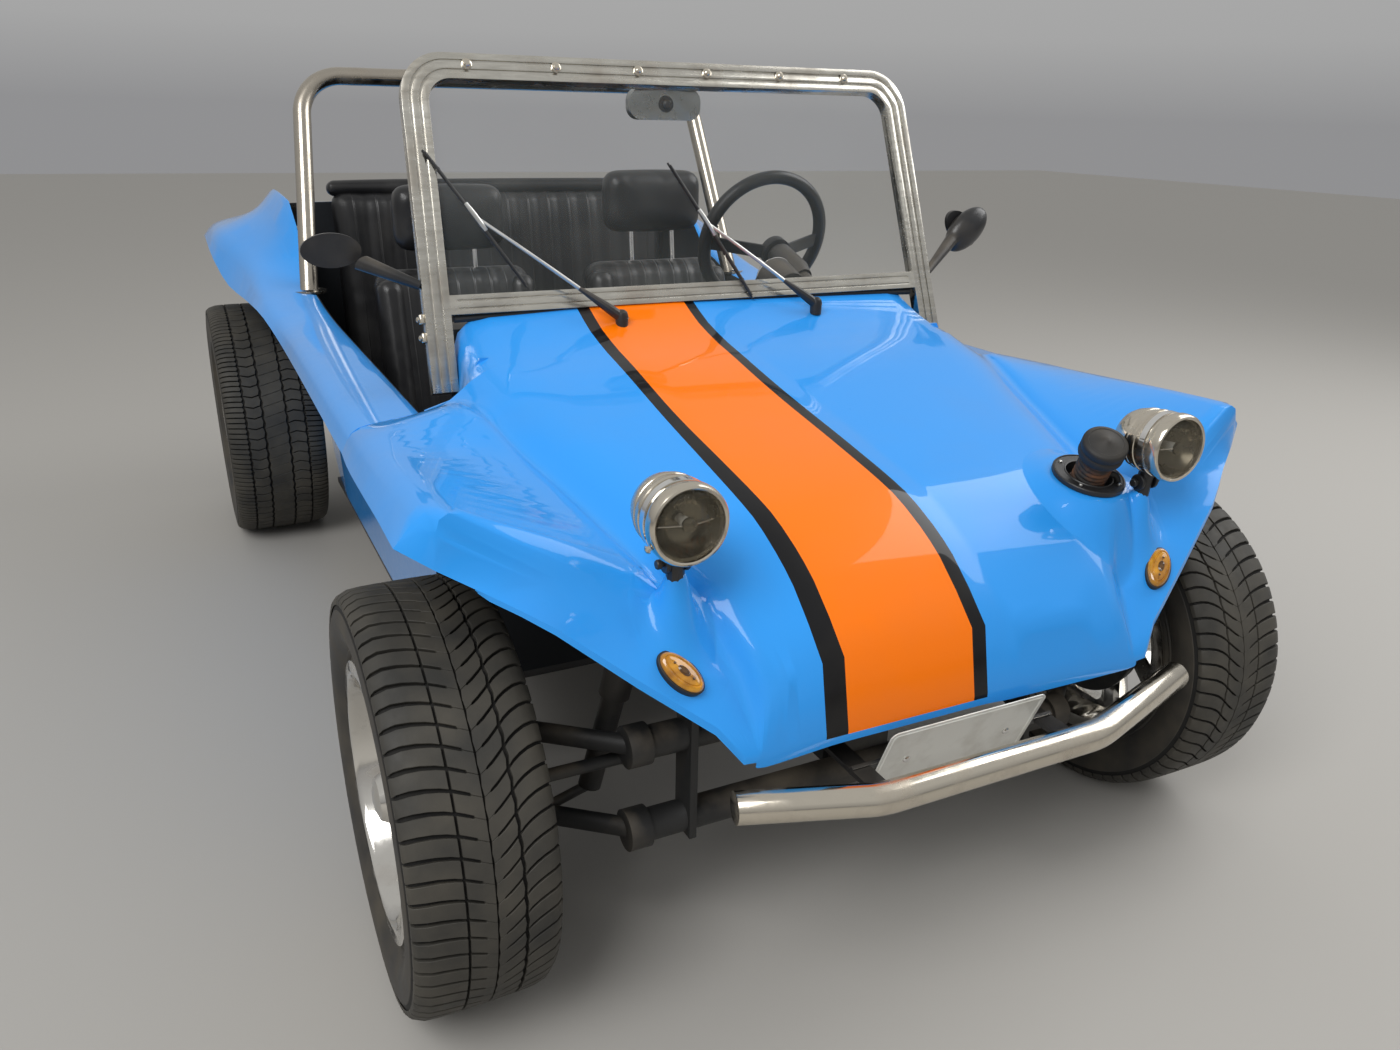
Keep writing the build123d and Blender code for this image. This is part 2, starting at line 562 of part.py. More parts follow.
def engine():
    """Open flat-four: case, finned cylinders, heads, fan shroud, generator, belt, carburettor and filter."""
    parts = [block(-78, 78, 2200, 2470, 262, 440), block(-60, 60, 2230, 2440, 236, 264), fan_shroud()]
    for side in (-1, 1):
        parts += [cylinder_bank(side, y) for y in (2275, 2395)]
        head, cover = sorted((side * 235, side * 300)), sorted((side * 298, side * 340))
        parts += [block(*head, 2218, 2452, 284, 402), block(*cover, 2232, 2438, 292, 378),
                  rod((side * 268, 2405, 395), (side * 230, 2405, 462), 16)]
    generator_z, belt_end, generator_r, crank_r = 620, 2512, 52, 84
    parts += [rod((0, 2325, generator_z), (0, 2490, generator_z), 46), block(-30, 30, 2380, 2460, 430, generator_z),
              rod((0, 2488, generator_z), (0, belt_end, generator_z), generator_r),
              rod((0, 2465, CRANK_Z), (0, belt_end, CRANK_Z), crank_r)]
    parts += [rod((side * generator_r, 2500, generator_z), (side * crank_r, 2500, CRANK_Z), 6) for side in (-1, 1)]
    parts += [rod((-235, 2405, 460), (235, 2405, 460), 16), rod((-110, 2405, 455), (-110, 2405, 590), 26),
              rod((-110, 2405, 588), (-110, 2405, 660), 56)]
    return largest(parts[0] + parts[1:])


def exhaust(motor):
    """Silencer across the tail, with its headers and two tail pipes."""
    parts = [rod((side * 280, 2440, 300), (side * 280, 2560, 300), 20) for side in (-1, 1)]
    parts += [Pos(x, REACH, 300) * Rot(90, 0, 0) * Cylinder(22, 110, align=(Align.CENTER, Align.CENTER, Align.MIN))
              for x in (-250, 250)]
    return rod((-320, 2560, 300), (320, 2560, 300), 60) + parts - motor


def rim(width):
    """Deep-dish wheel about its axis, outside up, with eight tapered spokes and a domed cap."""
    half, dish_r, spokes = width / 2, RIM_SEAT_R - 10, 8
    wheel = turned((
        (RIM_SEAT_R, -half), (RIM_FLANGE_R, -half), (RIM_FLANGE_R, 6 - half), (RIM_SEAT_R, 6 - half),
        (RIM_SEAT_R, half - 6), (RIM_FLANGE_R, half - 6), (RIM_FLANGE_R, half), (dish_r + 4, half),
        (dish_r, half - 8), (dish_r, -10), (84, 8), (62, 26), (38, 30), (38, half - 18), (31, half - 7),
        (16, half - 2), (0, half), (0, 27), (HUB_BORE_R, 27), (HUB_BORE_R, -20), (60, -22), (84, -8),
        (RIM_SEAT_R - 22, -36), (dish_r, -half)))
    narrow, wide = 18, 40
    window = fillet(Polygon((98, -narrow), (158, -wide), (158, wide), (98, narrow), align=None).vertices(), 12)
    window = extrude(Plane.XY.offset(-60) * window, amount=100)
    return wheel - [Rot(0, 0, 360 / spokes * i) * window for i in range(spokes)]


def tyre(radius, width, rim_width):
    """Plain tyre, solid between its rim seat and tread."""
    half, bead = width / 2, rim_width / 2 - 7
    side = [(RIM_SEAT_R + 0.5, bead), (RIM_FLANGE_R + 6, bead), (RIM_FLANGE_R + 48, half), (radius - 18, half - 4),
            (radius, half - 22)]
    return turned(side + [(r, -x) for r, x in side[::-1]])


WHEELS = (
    # name,         side, y,         tyre radius,  tyre width,   half track,       rim width
    ("front_left", 1, 0, FRONT_TYRE_R, FRONT_TYRE_W, FRONT_HALF_TRACK, FRONT_RIM_W),
    ("front_right", -1, 0, FRONT_TYRE_R, FRONT_TYRE_W, FRONT_HALF_TRACK, FRONT_RIM_W),
    ("rear_left", 1, WHEELBASE, REAR_TYRE_R, REAR_TYRE_W, REAR_HALF_TRACK, REAR_RIM_W),
    ("rear_right", -1, WHEELBASE, REAR_TYRE_R, REAR_TYRE_W, REAR_HALF_TRACK, REAR_RIM_W),
)


def main():
    screen, pan, beam, motor = windscreen_frame(), floor_pan(), front_beam(), engine()
    front, side = body_front(screen), body_side(pan)
    filler = fuel_filler(front)
    nodes = {
        "body_front": front,
        "body_side_left": side,
        "body_side_right": mirror(side, about=Plane.YZ),
        "rear_deck": rear_deck(side),
        "windscreen_frame": screen,
        "windscreen_glass": windscreen_glass(screen),
        "roll_bar": roll_bar(side),
        "front_bumper": front_bumper(),
        "front_plate": front_plate(),
        "headlamps": headlamps(front),
        "headlamp_lenses": headlamp_lenses(),
        "indicators": indicators(front),
        "tail_lamps": tail_lamps(),
        "fuel_filler": filler,
        "fuel_tank": fuel_tank(filler),
        "outer_mirrors": [outer_mirror(-1, (538, 520, 960), (672, 560, 1017), 0, screen),
                          outer_mirror(1, (540, 512, 940), (673, 560, 1020), -40, screen)],
        "inner_mirror": inner_mirror(screen),
        "wipers": [wiper(*row, front) for row in WIPERS],
        "seat_left": seat(SEAT_X),
        "seat_right": seat(-SEAT_X),
        "rear_bench": rear_bench(pan),
        "steering_column": steering_column(),
        "steering_wheel": steering_wheel(),
        "dashboard": dashboard(),
        "hand_controls": hand_controls(),
        "pedals": pedals(),
        "floor_pan": pan,
        "front_beam": beam,
        "front_dampers": front_dampers(beam),
        "knuckle_left": knuckle(),
        "knuckle_right": mirror(knuckle(), about=Plane.YZ),
        "track_rods": track_rods(),
        "rear_axle": rear_axle(),
        "transaxle": transaxle(),
        "engine": motor,
        "exhaust": exhaust(motor),
    }
    for name, side, y, radius, width, half_track, rim_width in WHEELS:
        place = Pos(side * half_track, back(y), radius) * Rot(0, side * 90, 0)
        nodes["rim_" + name] = place * rim(rim_width)
        nodes["tyre_" + name] = place * tyre(radius, width, rim_width)
    os.makedirs("parts", exist_ok=True)
    for name, shape in nodes.items():
        if isinstance(shape, list):
            shape = Compound(children=[*shape])
        export_step(shape, f"parts/{name}.step")


main()
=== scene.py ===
# %% [markdown]
# # An open beach buggy, dressed in Blender
# The buggy's frame comes ready made, in metres: the car's left is +X, its front faces -Y and it stands on
# z = 0. Every cell below either gives one of its pieces the finish that the real one has, or models a piece
# that the plain solids only stand for.

# %% Loading the frame
import json
import math

import bpy
import numpy as np
from mathutils import Matrix, Vector


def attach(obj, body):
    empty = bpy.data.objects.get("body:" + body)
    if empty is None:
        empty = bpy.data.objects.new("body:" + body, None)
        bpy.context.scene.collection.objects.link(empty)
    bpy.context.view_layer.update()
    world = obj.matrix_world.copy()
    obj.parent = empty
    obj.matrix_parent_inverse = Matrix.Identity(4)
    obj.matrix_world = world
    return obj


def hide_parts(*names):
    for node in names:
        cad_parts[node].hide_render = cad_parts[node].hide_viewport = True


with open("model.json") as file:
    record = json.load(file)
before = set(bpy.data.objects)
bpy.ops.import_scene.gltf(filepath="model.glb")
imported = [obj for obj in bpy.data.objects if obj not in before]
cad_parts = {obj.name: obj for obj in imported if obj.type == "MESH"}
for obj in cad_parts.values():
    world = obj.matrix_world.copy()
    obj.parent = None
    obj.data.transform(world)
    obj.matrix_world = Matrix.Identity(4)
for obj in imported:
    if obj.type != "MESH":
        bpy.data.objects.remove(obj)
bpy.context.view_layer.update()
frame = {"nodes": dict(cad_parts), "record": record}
nodes = frame["nodes"]
print("CAD nodes", len(nodes))

# %% [markdown]
# ## Camera, floor and light
# The photograph was taken from in front of the car's right side, a little above its windscreen, looking
# down. A wide lens close to the car makes the near front wheel large, so the camera's place matters as much
# as its direction. The light is plain: two large soft lamps and an even, pale world.

# %% Camera
FRONT_AXLE_Y = -1.100
EYE = Vector((-0.939, FRONT_AXLE_Y - 1.371, 1.251))
YAW, PITCH, ROLL = (math.radians(a) for a in (26.7, 21.1, 1.3))
SENSOR, FOCAL = 36.0, 27.57


def camera_axes(yaw, pitch, roll):
    """Right, up and forward of a camera turned from +Y towards +X, then down, then rolled."""
    forward = Vector((math.sin(yaw) * math.cos(pitch), math.cos(yaw) * math.cos(pitch), -math.sin(pitch)))
    right = Vector((math.cos(yaw), -math.sin(yaw), 0))
    up = right.cross(forward)
    return (right * math.cos(roll) + up * math.sin(roll), up * math.cos(roll) - right * math.sin(roll), forward)


right, up, forward = camera_axes(YAW, PITCH, ROLL)
camera = bpy.data.objects.new("camera", bpy.data.cameras.new("camera"))
bpy.context.scene.collection.objects.link(camera)
camera.data.sensor_width, camera.data.lens = SENSOR, FOCAL
turn = Matrix((right, up, -forward)).transposed().to_4x4()
camera.matrix_world = Matrix.Translation(EYE) @ turn
bpy.context.scene.camera = camera
bpy.context.scene.view_settings.view_transform = "Standard"
print("eye", tuple(round(v, 3) for v in EYE))

# %% [markdown]
# ## Shader maths
# A node tree reads badly when it is wired by hand. A small class wraps one socket, so that shader maths is
# written as ordinary arithmetic and every operator adds its own Math node.

# %% A wrapper for sockets


class Sock:
    """One output socket of a node tree, which arithmetic can be done on."""

    def __init__(self, tree, socket):
        self.tree, self.socket = tree, socket

    def math(self, operation, *others):
        return shade(self.tree, "ShaderNodeMath", {"operation": operation}, self, *others)

    def __add__(self, other):
        return self.math("ADD", other)

    def __sub__(self, other):
        return self.math("SUBTRACT", other)

    def __rsub__(self, other):
        return shade(self.tree, "ShaderNodeMath", {"operation": "SUBTRACT"}, other, self)

    def __mul__(self, other):
        return self.math("MULTIPLY", other)

    def __truediv__(self, other):
        return self.math("DIVIDE", other)

    def __gt__(self, other):
        return self.math("GREATER_THAN", other)

    def __lt__(self, other):
        return self.math("LESS_THAN", other)

    __radd__, __rmul__ = __add__, __mul__


def plug(tree, target, value):
    """Sets a socket's value, or links it to another socket."""
    if isinstance(value, Sock):
        tree.links.new(value.socket, target)
    elif target.type == "RGBA" and len(value) == 3:
        target.default_value = (*value, 1)
    else:
        target.default_value = value


def shade(tree, kind, settings=None, *ordered, out=0, **named):
    """Adds a node with its settings, then fills its sockets in order or by name, and gives one output."""
    node = tree.nodes.new(kind)
    for name, value in (settings or {}).items():
        if name == "stops":
            ramp = node.color_ramp
            while len(ramp.elements) < len(value):
                ramp.elements.new(0.5)
            for element, (place, colour) in zip(ramp.elements, value):
                element.position, element.color = place, (*colour, 1)
        else:
            setattr(node, name, value)
    for socket, value in zip(node.inputs, ordered):
        plug(tree, socket, value)
    for name, value in named.items():
        plug(tree, node.inputs[name.replace("_", " ")], value)
    return Sock(tree, node.outputs[out])


def finish_of(name, **sockets):
    """A material with one Principled shader, and its tree and shader for further work."""
    material = bpy.data.materials.new(name)
    material.use_nodes = True
    tree = material.node_tree
    shader = tree.nodes["Principled BSDF"]
    for socket, value in sockets.items():
        plug(tree, shader.inputs[socket.replace("_", " ")], value)
    return material, tree, shader


# %% Floor, world and lamps
floor_finish, tree, shader = finish_of("floor_plain", Base_Color=(0.42, 0.405, 0.38), Roughness=0.8)
bpy.ops.mesh.primitive_plane_add(size=40, location=(0, 0, 0))
floor = bpy.context.object
floor.name = "floor"
floor.data.materials.append(floor_finish)

world = bpy.data.worlds.new("studio")
world.use_nodes = True
bpy.context.scene.world = world
background = world.node_tree.nodes["Background"]
tree = world.node_tree
SKY = ((0.0, (0.40, 0.40, 0.41)), (0.06, (0.54, 0.54, 0.54)), (0.5, (0.80, 0.80, 0.79)))
sky_height = shade(tree, "ShaderNodeSeparateXYZ", None, shade(tree, "ShaderNodeTexCoord"), out=2)
plug(tree, background.inputs["Color"], shade(tree, "ShaderNodeValToRGB", {"stops": SKY}, sky_height))
background.inputs["Strength"].default_value = 0.70


def soft_lamp(name, place, target, size, watts):
    """A square area lamp that looks at a point."""
    data = bpy.data.lights.new(name, "AREA")
    data.shape, data.size, data.energy = "SQUARE", size, watts
    lamp = bpy.data.objects.new(name, data)
    bpy.context.scene.collection.objects.link(lamp)
    lamp.location = place
    lamp.rotation_euler = (Vector(target) - Vector(place)).to_track_quat("-Z", "Y").to_euler()
    return lamp


soft_lamp("key", (-3.6, -3.4, 4.6), (0, 0, 0.5), 3.0, 210)
soft_lamp("fill", (4.2, -1.0, 3.8), (0, 0, 0.5), 3.5, 120)

# %% [markdown]
# ## Handling pieces
# An operator works on whatever is selected, so every step first selects its own piece and nothing else. A
# finished piece has its place in its mesh, and rides on one of the car's moving bodies: the body shell, a
# wheel, a knuckle or the steering wheel.

# %% Handling pieces
BODY_OF = {node: body for body, names in frame["record"]["behaviour"]["bodies"].items() for node in names}
CHASSIS = BODY_OF["body_front"]


def alone(piece):
    """Selects one piece and nothing else."""
    if bpy.context.mode != "OBJECT":
        bpy.ops.object.mode_set(mode="OBJECT")
    bpy.ops.object.select_all(action="DESELECT")
    piece.select_set(True)
    bpy.context.view_layer.objects.active = piece
    return piece


def edit(piece, action="SELECT", kind="VERT"):
    """Opens a piece for editing by its points, edges or faces, with all of it selected or nothing."""
    alone(piece)
    bpy.ops.object.mode_set(mode="EDIT")
    bpy.ops.mesh.select_mode(type=kind)
    bpy.ops.mesh.select_all(action=action)


def picked(piece, kind, test):
    """Opens a piece with only those edges or faces selected that pass a test."""
    edit(piece, "DESELECT", kind)
    bpy.ops.object.mode_set(mode="OBJECT")
    for item in piece.data.edges if kind == "EDGE" else piece.data.polygons:
        item.select = bool(test(item))
    bpy.ops.object.mode_set(mode="EDIT")


def done(piece, merge=None, outward=False):
    """Closes a piece again, after merging its doubles and turning its faces outwards where asked."""
    bpy.ops.mesh.select_all(action="SELECT")
    if merge:
        bpy.ops.mesh.remove_doubles(threshold=merge)
    if outward:
        bpy.ops.mesh.normals_make_consistent(inside=False)
    bpy.ops.object.mode_set(mode="OBJECT")
    return piece


def joined(pieces):
    """Makes one piece of several."""
    alone(pieces[0])
    for piece in pieces[1:]:
        piece.select_set(True)
    if len(pieces) > 1:
        bpy.ops.object.join()
    return pieces[0]


def applied(piece, kind, **settings):
    """Adds a modifier with its settings and applies it."""
    alone(piece)
    modifier = piece.modifiers.new(kind.lower(), kind)
    for name, value in settings.items():
        setattr(modifier, name, value)
    bpy.ops.object.modifier_apply(modifier=modifier.name)
    return piece


def twin(piece, matrix=None):
    """A copy of a piece with a mesh of its own, moved by a matrix; a mirror image is turned right side out."""
    copy = piece.copy()
    copy.data = piece.data.copy()
    bpy.context.scene.collection.objects.link(copy)
    if matrix is not None:
        copy.data.transform(matrix)
        if matrix.determinant() < 0:
            copy.data.flip_normals()
    return copy


X_AXIS, Y_AXIS, Z_AXIS = Vector((1, 0, 0)), Vector((0, 1, 0)), Vector((0, 0, 1))
MIRROR = Matrix.Scale(-1, 4, X_AXIS)


def second_finish(piece, test):
    """Gives a piece's second finish to the faces whose middle and direction pass a test."""
    for face in piece.data.polygons:
        face.material_index = int(test(face.center, face.normal))


def show(piece, name, finishes, body=CHASSIS, instead_of=(), smooth=35):
    """Names a piece, gives it its finishes and lets it ride on a body, in place of CAD nodes if named."""
    piece.name = piece.data.name = name
    alone(piece)
    bpy.ops.object.transform_apply(location=True, rotation=True, scale=True)
    finishes = finishes if isinstance(finishes, (list, tuple)) else [finishes]
    if len(piece.data.materials) == 0:
        for finish in finishes:
            piece.data.materials.append(finish)
    if smooth:
        bpy.ops.object.shade_smooth_by_angle(angle=math.radians(smooth))
    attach(piece, body)
    if instead_of:
        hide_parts(*instead_of)
    print(name, len(piece.data.polygons), "faces")
    return piece


def dressed(node, finishes, smooth=35, bevel=0.0):
    """Shows a merged copy of a CAD node with smooth curves and soft edges in the node's place."""
    piece = bpy.data.objects.new(node + "_dressed", nodes[node].data.copy())
    bpy.context.scene.collection.objects.link(piece)
    piece.data.materials.clear()
    edit(piece)
    bpy.ops.mesh.customdata_custom_splitnormals_clear()
    done(piece, merge=1e-5)
    if bevel:
        edit(piece)
        bpy.ops.mesh.tris_convert_to_quads()
        bpy.ops.mesh.dissolve_limited(angle_limit=math.radians(0.5))
        done(piece)
        applied(piece, "BEVEL", width=bevel, segments=2, limit_method="ANGLE", angle_limit=math.radians(40))
    return show(piece, node + "_dressed", finishes, BODY_OF[node], [node], smooth)


def both_sides(pieces, name, finish, node):
    """Shows pieces of the car's left together with their mirror image, in place of a CAD node."""
    piece = joined(pieces)
    show(joined([piece, twin(piece, MIRROR)]), name, finish, CHASSIS, [node], 32)


# %% [markdown]
# ## Drawing lines, turning and bending
# Many parts of a car are turned: lamps, tyres, wheels, caps. By hand one draws half of the section as a line
# and spins it about its axis. A tube is a curve with a thickness, made a mesh at the end. Both are helpers
# here, so that each part below is only a short table of sizes.

# %% Drawing helpers


def mm(*numbers):
    """Millimetres to metres."""
    return [n / 1000 for n in numbers] if len(numbers) > 1 else numbers[0] / 1000


def at(x, behind, z):
    """A place from millimetres: x, behind the front axle and height."""
    return Vector((x / 1000, FRONT_AXLE_Y + behind / 1000, z / 1000))


def drawn(points, close=False):
    """Draws a line: one vertex is extruded from point to point, and the outline is filled if it closes."""
    points = [Vector(point) for point in points]
    bpy.ops.mesh.primitive_plane_add(size=0.001, location=points[0])
    piece = bpy.context.object
    edit(piece)
    bpy.ops.mesh.merge(type="CENTER")
    for before, after in zip(points, points[1:] + points[:1] if close else points[1:]):
        bpy.ops.mesh.extrude_vertices_move(TRANSFORM_OT_translate={"value": after - before})
    done(piece, merge=1e-6)
    bpy.ops.object.transform_apply(location=True)
    if close:
        edit(piece)
        bpy.ops.mesh.edge_face_add()
        done(piece)
    return piece


def around(axis, angle):
    """The direction at an angle round an axis that is square to X."""
    return X_AXIS * math.cos(angle) + axis.cross(X_AXIS) * math.sin(angle)


def turned(profile, centre, axis=X_AXIS, across=Z_AXIS, steps=64):
    """Spins a line of (radius, place along the axis) in millimetres about an axis through a centre."""
    centre, axis, across = Vector(centre), Vector(axis).normalized(), Vector(across).normalized()
    piece = drawn([centre + across * mm(radius) + axis * mm(along) for radius, along in profile])
    edit(piece)
    bpy.ops.mesh.spin(steps=steps, angle=2 * math.pi, center=centre, axis=axis)
    return done(piece, merge=1e-5, outward=True)


def tube(points, radius, smooth=True):
    """A round bar through points, each with its share of the radius where it tapers."""
    data = bpy.data.curves.new("tube", "CURVE")
    data.dimensions, data.bevel_depth, data.bevel_resolution = "3D", radius, 3
    data.use_fill_caps, data.resolution_u = True, 8
    spline = data.splines.new("NURBS" if smooth else "POLY")
    spline.points.add(len(points) - 1)
    for spot, (x, y, z, *share) in zip(spline.points, points):
        spot.co, spot.radius = (x, y, z, 1), share[0] if share else 1
    if smooth:
        spline.order_u, spline.use_endpoint_u = 3, True
    piece = bpy.data.objects.new("tube", data)
    bpy.context.scene.collection.objects.link(piece)
    alone(piece)
    bpy.ops.object.convert(target="MESH")
    piece = bpy.context.object
    edit(piece)
    return done(piece, merge=1e-6, outward=True)


# %% [markdown]
# ## Words for the shaders
# Three more short words help below: the object's own coordinates, a mixture of two colours, and dust. Dust
# lies in a garage on everything that faces up, so most finishes mix a little of it in, in soft patches.

# %% Shader words


def spot(tree, out=3):
    """The place on the object itself (3), its surface direction (1) or its own flat map (2)."""
    return shade(tree, "ShaderNodeTexCoord", out=out)


def xyz(tree, vector):
    node = tree.nodes.new("ShaderNodeSeparateXYZ")
    plug(tree, node.inputs[0], vector)
    return [Sock(tree, output) for output in node.outputs]


def mixed(tree, share, first, second):
    """Two colours mixed by a share."""
    node = tree.nodes.new("ShaderNodeMix")
    node.data_type = "RGBA"
    for i, value in ((0, share), (6, first), (7, second)):
        plug(tree, node.inputs[i], value)
    return Sock(tree, node.outputs[2])


def noise(tree, scale, detail=3, vector=None):
    """Soft noise over the object's coordinates, or over others."""
    return shade(tree, "ShaderNodeTexNoise", None, Vector=vector or spot(tree), Scale=scale, Detail=detail)


def stretched(tree, sizes):
    """The object's coordinates, stretched so that a pattern runs along one direction."""
    return shade(tree, "ShaderNodeVectorMath", {"operation": "MULTIPLY"}, spot(tree), sizes)


def ramp(value, low, high):
    """A number brought from a range to 0..1, and kept there."""
    return shade(value.tree, "ShaderNodeMapRange", {"clamp": True}, value, low, high, 0.0, 1.0)


def bumped(tree, shader, height, strength=0.3, distance=0.001):
    plug(tree, shader.inputs["Normal"],
         shade(tree, "ShaderNodeBump", None, Strength=strength, Distance=distance, Height=height))


DUST = (0.23, 0.19, 0.14)


def dusty(name, colour, rough=0.5, dust=0.5, grain=0.3, grain_scale=300, metal=0.0, tint=DUST):
    """A finish with fine grain, and dust in patches on what faces up."""
    material, tree, shader = finish_of(name, Metallic=metal)
    facing = xyz(tree, spot(tree, 1))[2]
    patches = ramp(noise(tree, 9, 5), 0.42, 0.68)
    share = (ramp(facing, 0.1, 1.0) * 0.75 + 0.25) * patches * dust
    plug(tree, shader.inputs["Base Color"], mixed(tree, share, colour, tint))
    plug(tree, shader.inputs["Roughness"], noise(tree, 25, 3) * 0.16 + share * 0.35 + (rough - 0.08))
    bumped(tree, shader, noise(tree, grain_scale, 2), grain, 0.0006)
    return material


# %% [markdown]
# ## The moulded body
# The body is glass fibre, sprayed light blue, with a wide orange stripe between two black bands that runs
# from the windscreen over the nose. The stripe follows the slow curve of the raised panel, so its four edges
# are worked out as lines over the object's own coordinates: each runs straight under the windscreen and turns
# to the car's left on its way to the nose. Hand-laid glass fibre is never quite flat, which a very faint,
# large bump shows in its reflections. Underneath, the moulding is left dark and unpainted; the cockpit's
# inner walls get the same dark colour as painted shade.

# %% Body paint with its stripe
PAINT_BLUE, PAINT_ORANGE, PAINT_BLACK = (0.030, 0.325, 0.88), (0.96, 0.190, 0.0), (0.004, 0.004, 0.005)
STRIPE_EDGES = (
    # x at the axle, turn, least x: from the car's right to its left, in metres
    (-0.2505, -0.055, -0.262),
    (-0.2265, -0.085, -0.239),
    (-0.0215, -0.110, -0.046),
    (0.0010, -0.115, -0.026),
)
STRIPE_ROUNDING, STRIPE_FOOT = 0.014, 0.475
COCKPIT_FROM, BULKHEAD_TOP, COCKPIT_HALF = 0.2, 0.70, 0.60
# Dark bare fibre underneath; on the cockpit's inner walls the same colour is painted shade.
BARE_FIBRE_AND_PAINTED_SHADE = (0.02, 0.022, 0.025)


def striped_colour(tree, colour, x, behind, outside):
    """The orange stripe and its two black bands, laid over a colour."""
    edges = [(behind * turn + start).math("SMOOTH_MAX", stop, STRIPE_ROUNDING)
             for start, turn, stop in STRIPE_EDGES]
    band = (x > edges[0]) * (x < edges[3]) * outside
    middle = (x > edges[1]) * (x < edges[2]) * outside
    return mixed(tree, middle, mixed(tree, band, colour, PAINT_BLACK), PAINT_ORANGE)


def body_finish(name, stripe):
    """Glossy paint outside, dark bare fibre underneath and painted shade on the inner walls, with the stripe for the
    front moulding.
    """
    material, tree, shader = finish_of(name, Coat_Roughness=0.03, Coat_IOR=1.32, Specular_IOR_Level=0.1)
    x, y, z = xyz(tree, spot(tree))
    sideways, forward, facing = xyz(tree, spot(tree, 1))
    behind = y - FRONT_AXLE_Y
    colour = mixed(tree, noise(tree, 2.5, 2), PAINT_BLUE, [c * 0.93 for c in PAINT_BLUE])
    if stripe:
        colour = striped_colour(tree, colour, x, behind, (facing > 0.02) * (z > STRIPE_FOOT))
        # Forward-facing walls in the cockpit are darkened as painted shade.
        inner = (forward < -0.6) * (z < BULKHEAD_TOP)
    else:
        # Walls that face into the cockpit and walls that face forwards are darkened as painted shade.
        inwards = (x.math("SIGN") * sideways) < -0.5
        inner = inwards.math("MAXIMUM", forward < -0.6) * (x.math("ABSOLUTE") < COCKPIT_HALF)
    # Bare fibre on faces turned down, and painted shade on the cockpit's inner walls.
    bare_fibre_and_shade_mask = (facing < -0.35).math("MAXIMUM", inner * (behind > COCKPIT_FROM))
    dust = ramp(noise(tree, 6, 6), 0.5, 0.75) * 0.05
    plug(tree, shader.inputs["Base Color"],
         mixed(tree, bare_fibre_and_shade_mask, mixed(tree, dust, colour, DUST), BARE_FIBRE_AND_PAINTED_SHADE))
    plug(tree, shader.inputs["Coat Weight"], 1 - bare_fibre_and_shade_mask)
    plug(tree, shader.inputs["Roughness"], noise(tree, 40, 4) * 0.12 + bare_fibre_and_shade_mask * 0.4 + 0.25)
    bumped(tree, shader, noise(tree, 2.2, 1), 0.05, 0.02)
    return material


striped = body_finish("paint_striped", True)
plain_blue = body_finish("paint_blue", False)
front = dressed("body_front", striped, 38)
for node in ("body_side_left", "body_side_right", "rear_deck"):
    dressed(node, plain_blue, 38)

# %% [markdown]
# ## Swellings in the moulding
# Each headlamp stands on a small swelling that grows out of the moulding, and the filler's ring sits on
# another. A sculptor would pull them out of the surface. Here a fine grid is dropped on that corner of the
# body instead, the gaps in it are bridged by averages, and its points rise by one smooth curve around the
# lamp's foot and by another around the ring. What doesn't rise is deleted, the rest gets a thickness and the
# same paint. The frame's blunt dome under the lamp is drawn in, so that it hides inside the new swelling.

# %% A grid over the body's corner
STAND = Vector((0.405, FRONT_AXLE_Y - 0.245, 0.706))
STAND_RADIUS, STAND_REACH, STAND_POWER = 0.024, 0.085, 3.6
FILLER_SEAT = Vector((0.345, FRONT_AXLE_Y - 0.188, 0.718))
SEAT_SLOPE, SEAT_RADIUS, SEAT_FALL, SEAT_HOLE = 0.268, 0.060, 0.045, 0.041
CELL, COLUMNS, ROWS = 0.0025, 108, 104
CORNER = Vector((0.235, FRONT_AXLE_Y - 0.345, 0))
DOME_RADIUS, DOME_SHARE, DOME_DROP = 0.0505, 0.3, 0.025
NOSE_END, NOSE_LOWEST, HOOD_LOWEST = FRONT_AXLE_Y - 0.27, 0.45, 0.56
OVERHEAD, AVERAGING_ROUNDS = 1.2, 1500
PROUD, SKIN = 0.0003, 0.0022


def ground_heights():
    """The body's height in metres at every point of the grid, and where it is known rather than averaged."""
    heights, known = np.zeros((COLUMNS, ROWS)), np.zeros((COLUMNS, ROWS), bool)
    for i in range(COLUMNS):
        for j in range(ROWS):
            place = CORNER + Vector((i * CELL, j * CELL, OVERHEAD))
            hit, point, _, _ = front.ray_cast(place, -Z_AXIS)
            near_dome = (place.xy - STAND.xy).length < DOME_RADIUS + 0.002
            lowest = HOOD_LOWEST if place.y > NOSE_END else NOSE_LOWEST
            if hit and not near_dome and point.z > lowest:
                heights[i, j], known[i, j] = point.z, True
    heights[~known] = heights[known].mean()
    for _ in range(AVERAGING_ROUNDS):
        padded = np.pad(heights, 1, mode="edge")
        average = (padded[:-2, 1:-1] + padded[2:, 1:-1] + padded[1:-1, :-2] + padded[1:-1, 2:]) / 4
        heights[~known] = average[~known]
    return heights, known


def smoothed(share):
    """A share from 0 to 1 with a soft start and end."""
    share = np.clip(share, 0, 1)
    return share * share * (3 - 2 * share)


def higher(first, second, ground, blend=0.010):
    """The higher of two surfaces, with a fillet where they cross well above the ground."""
    near = np.clip(blend - np.abs(first - second), 0, None) / blend
    clear = np.clip((np.minimum(first, second) - ground) / blend, 0, 1)
    return np.maximum(first, second) + near * near * clear * blend / 4


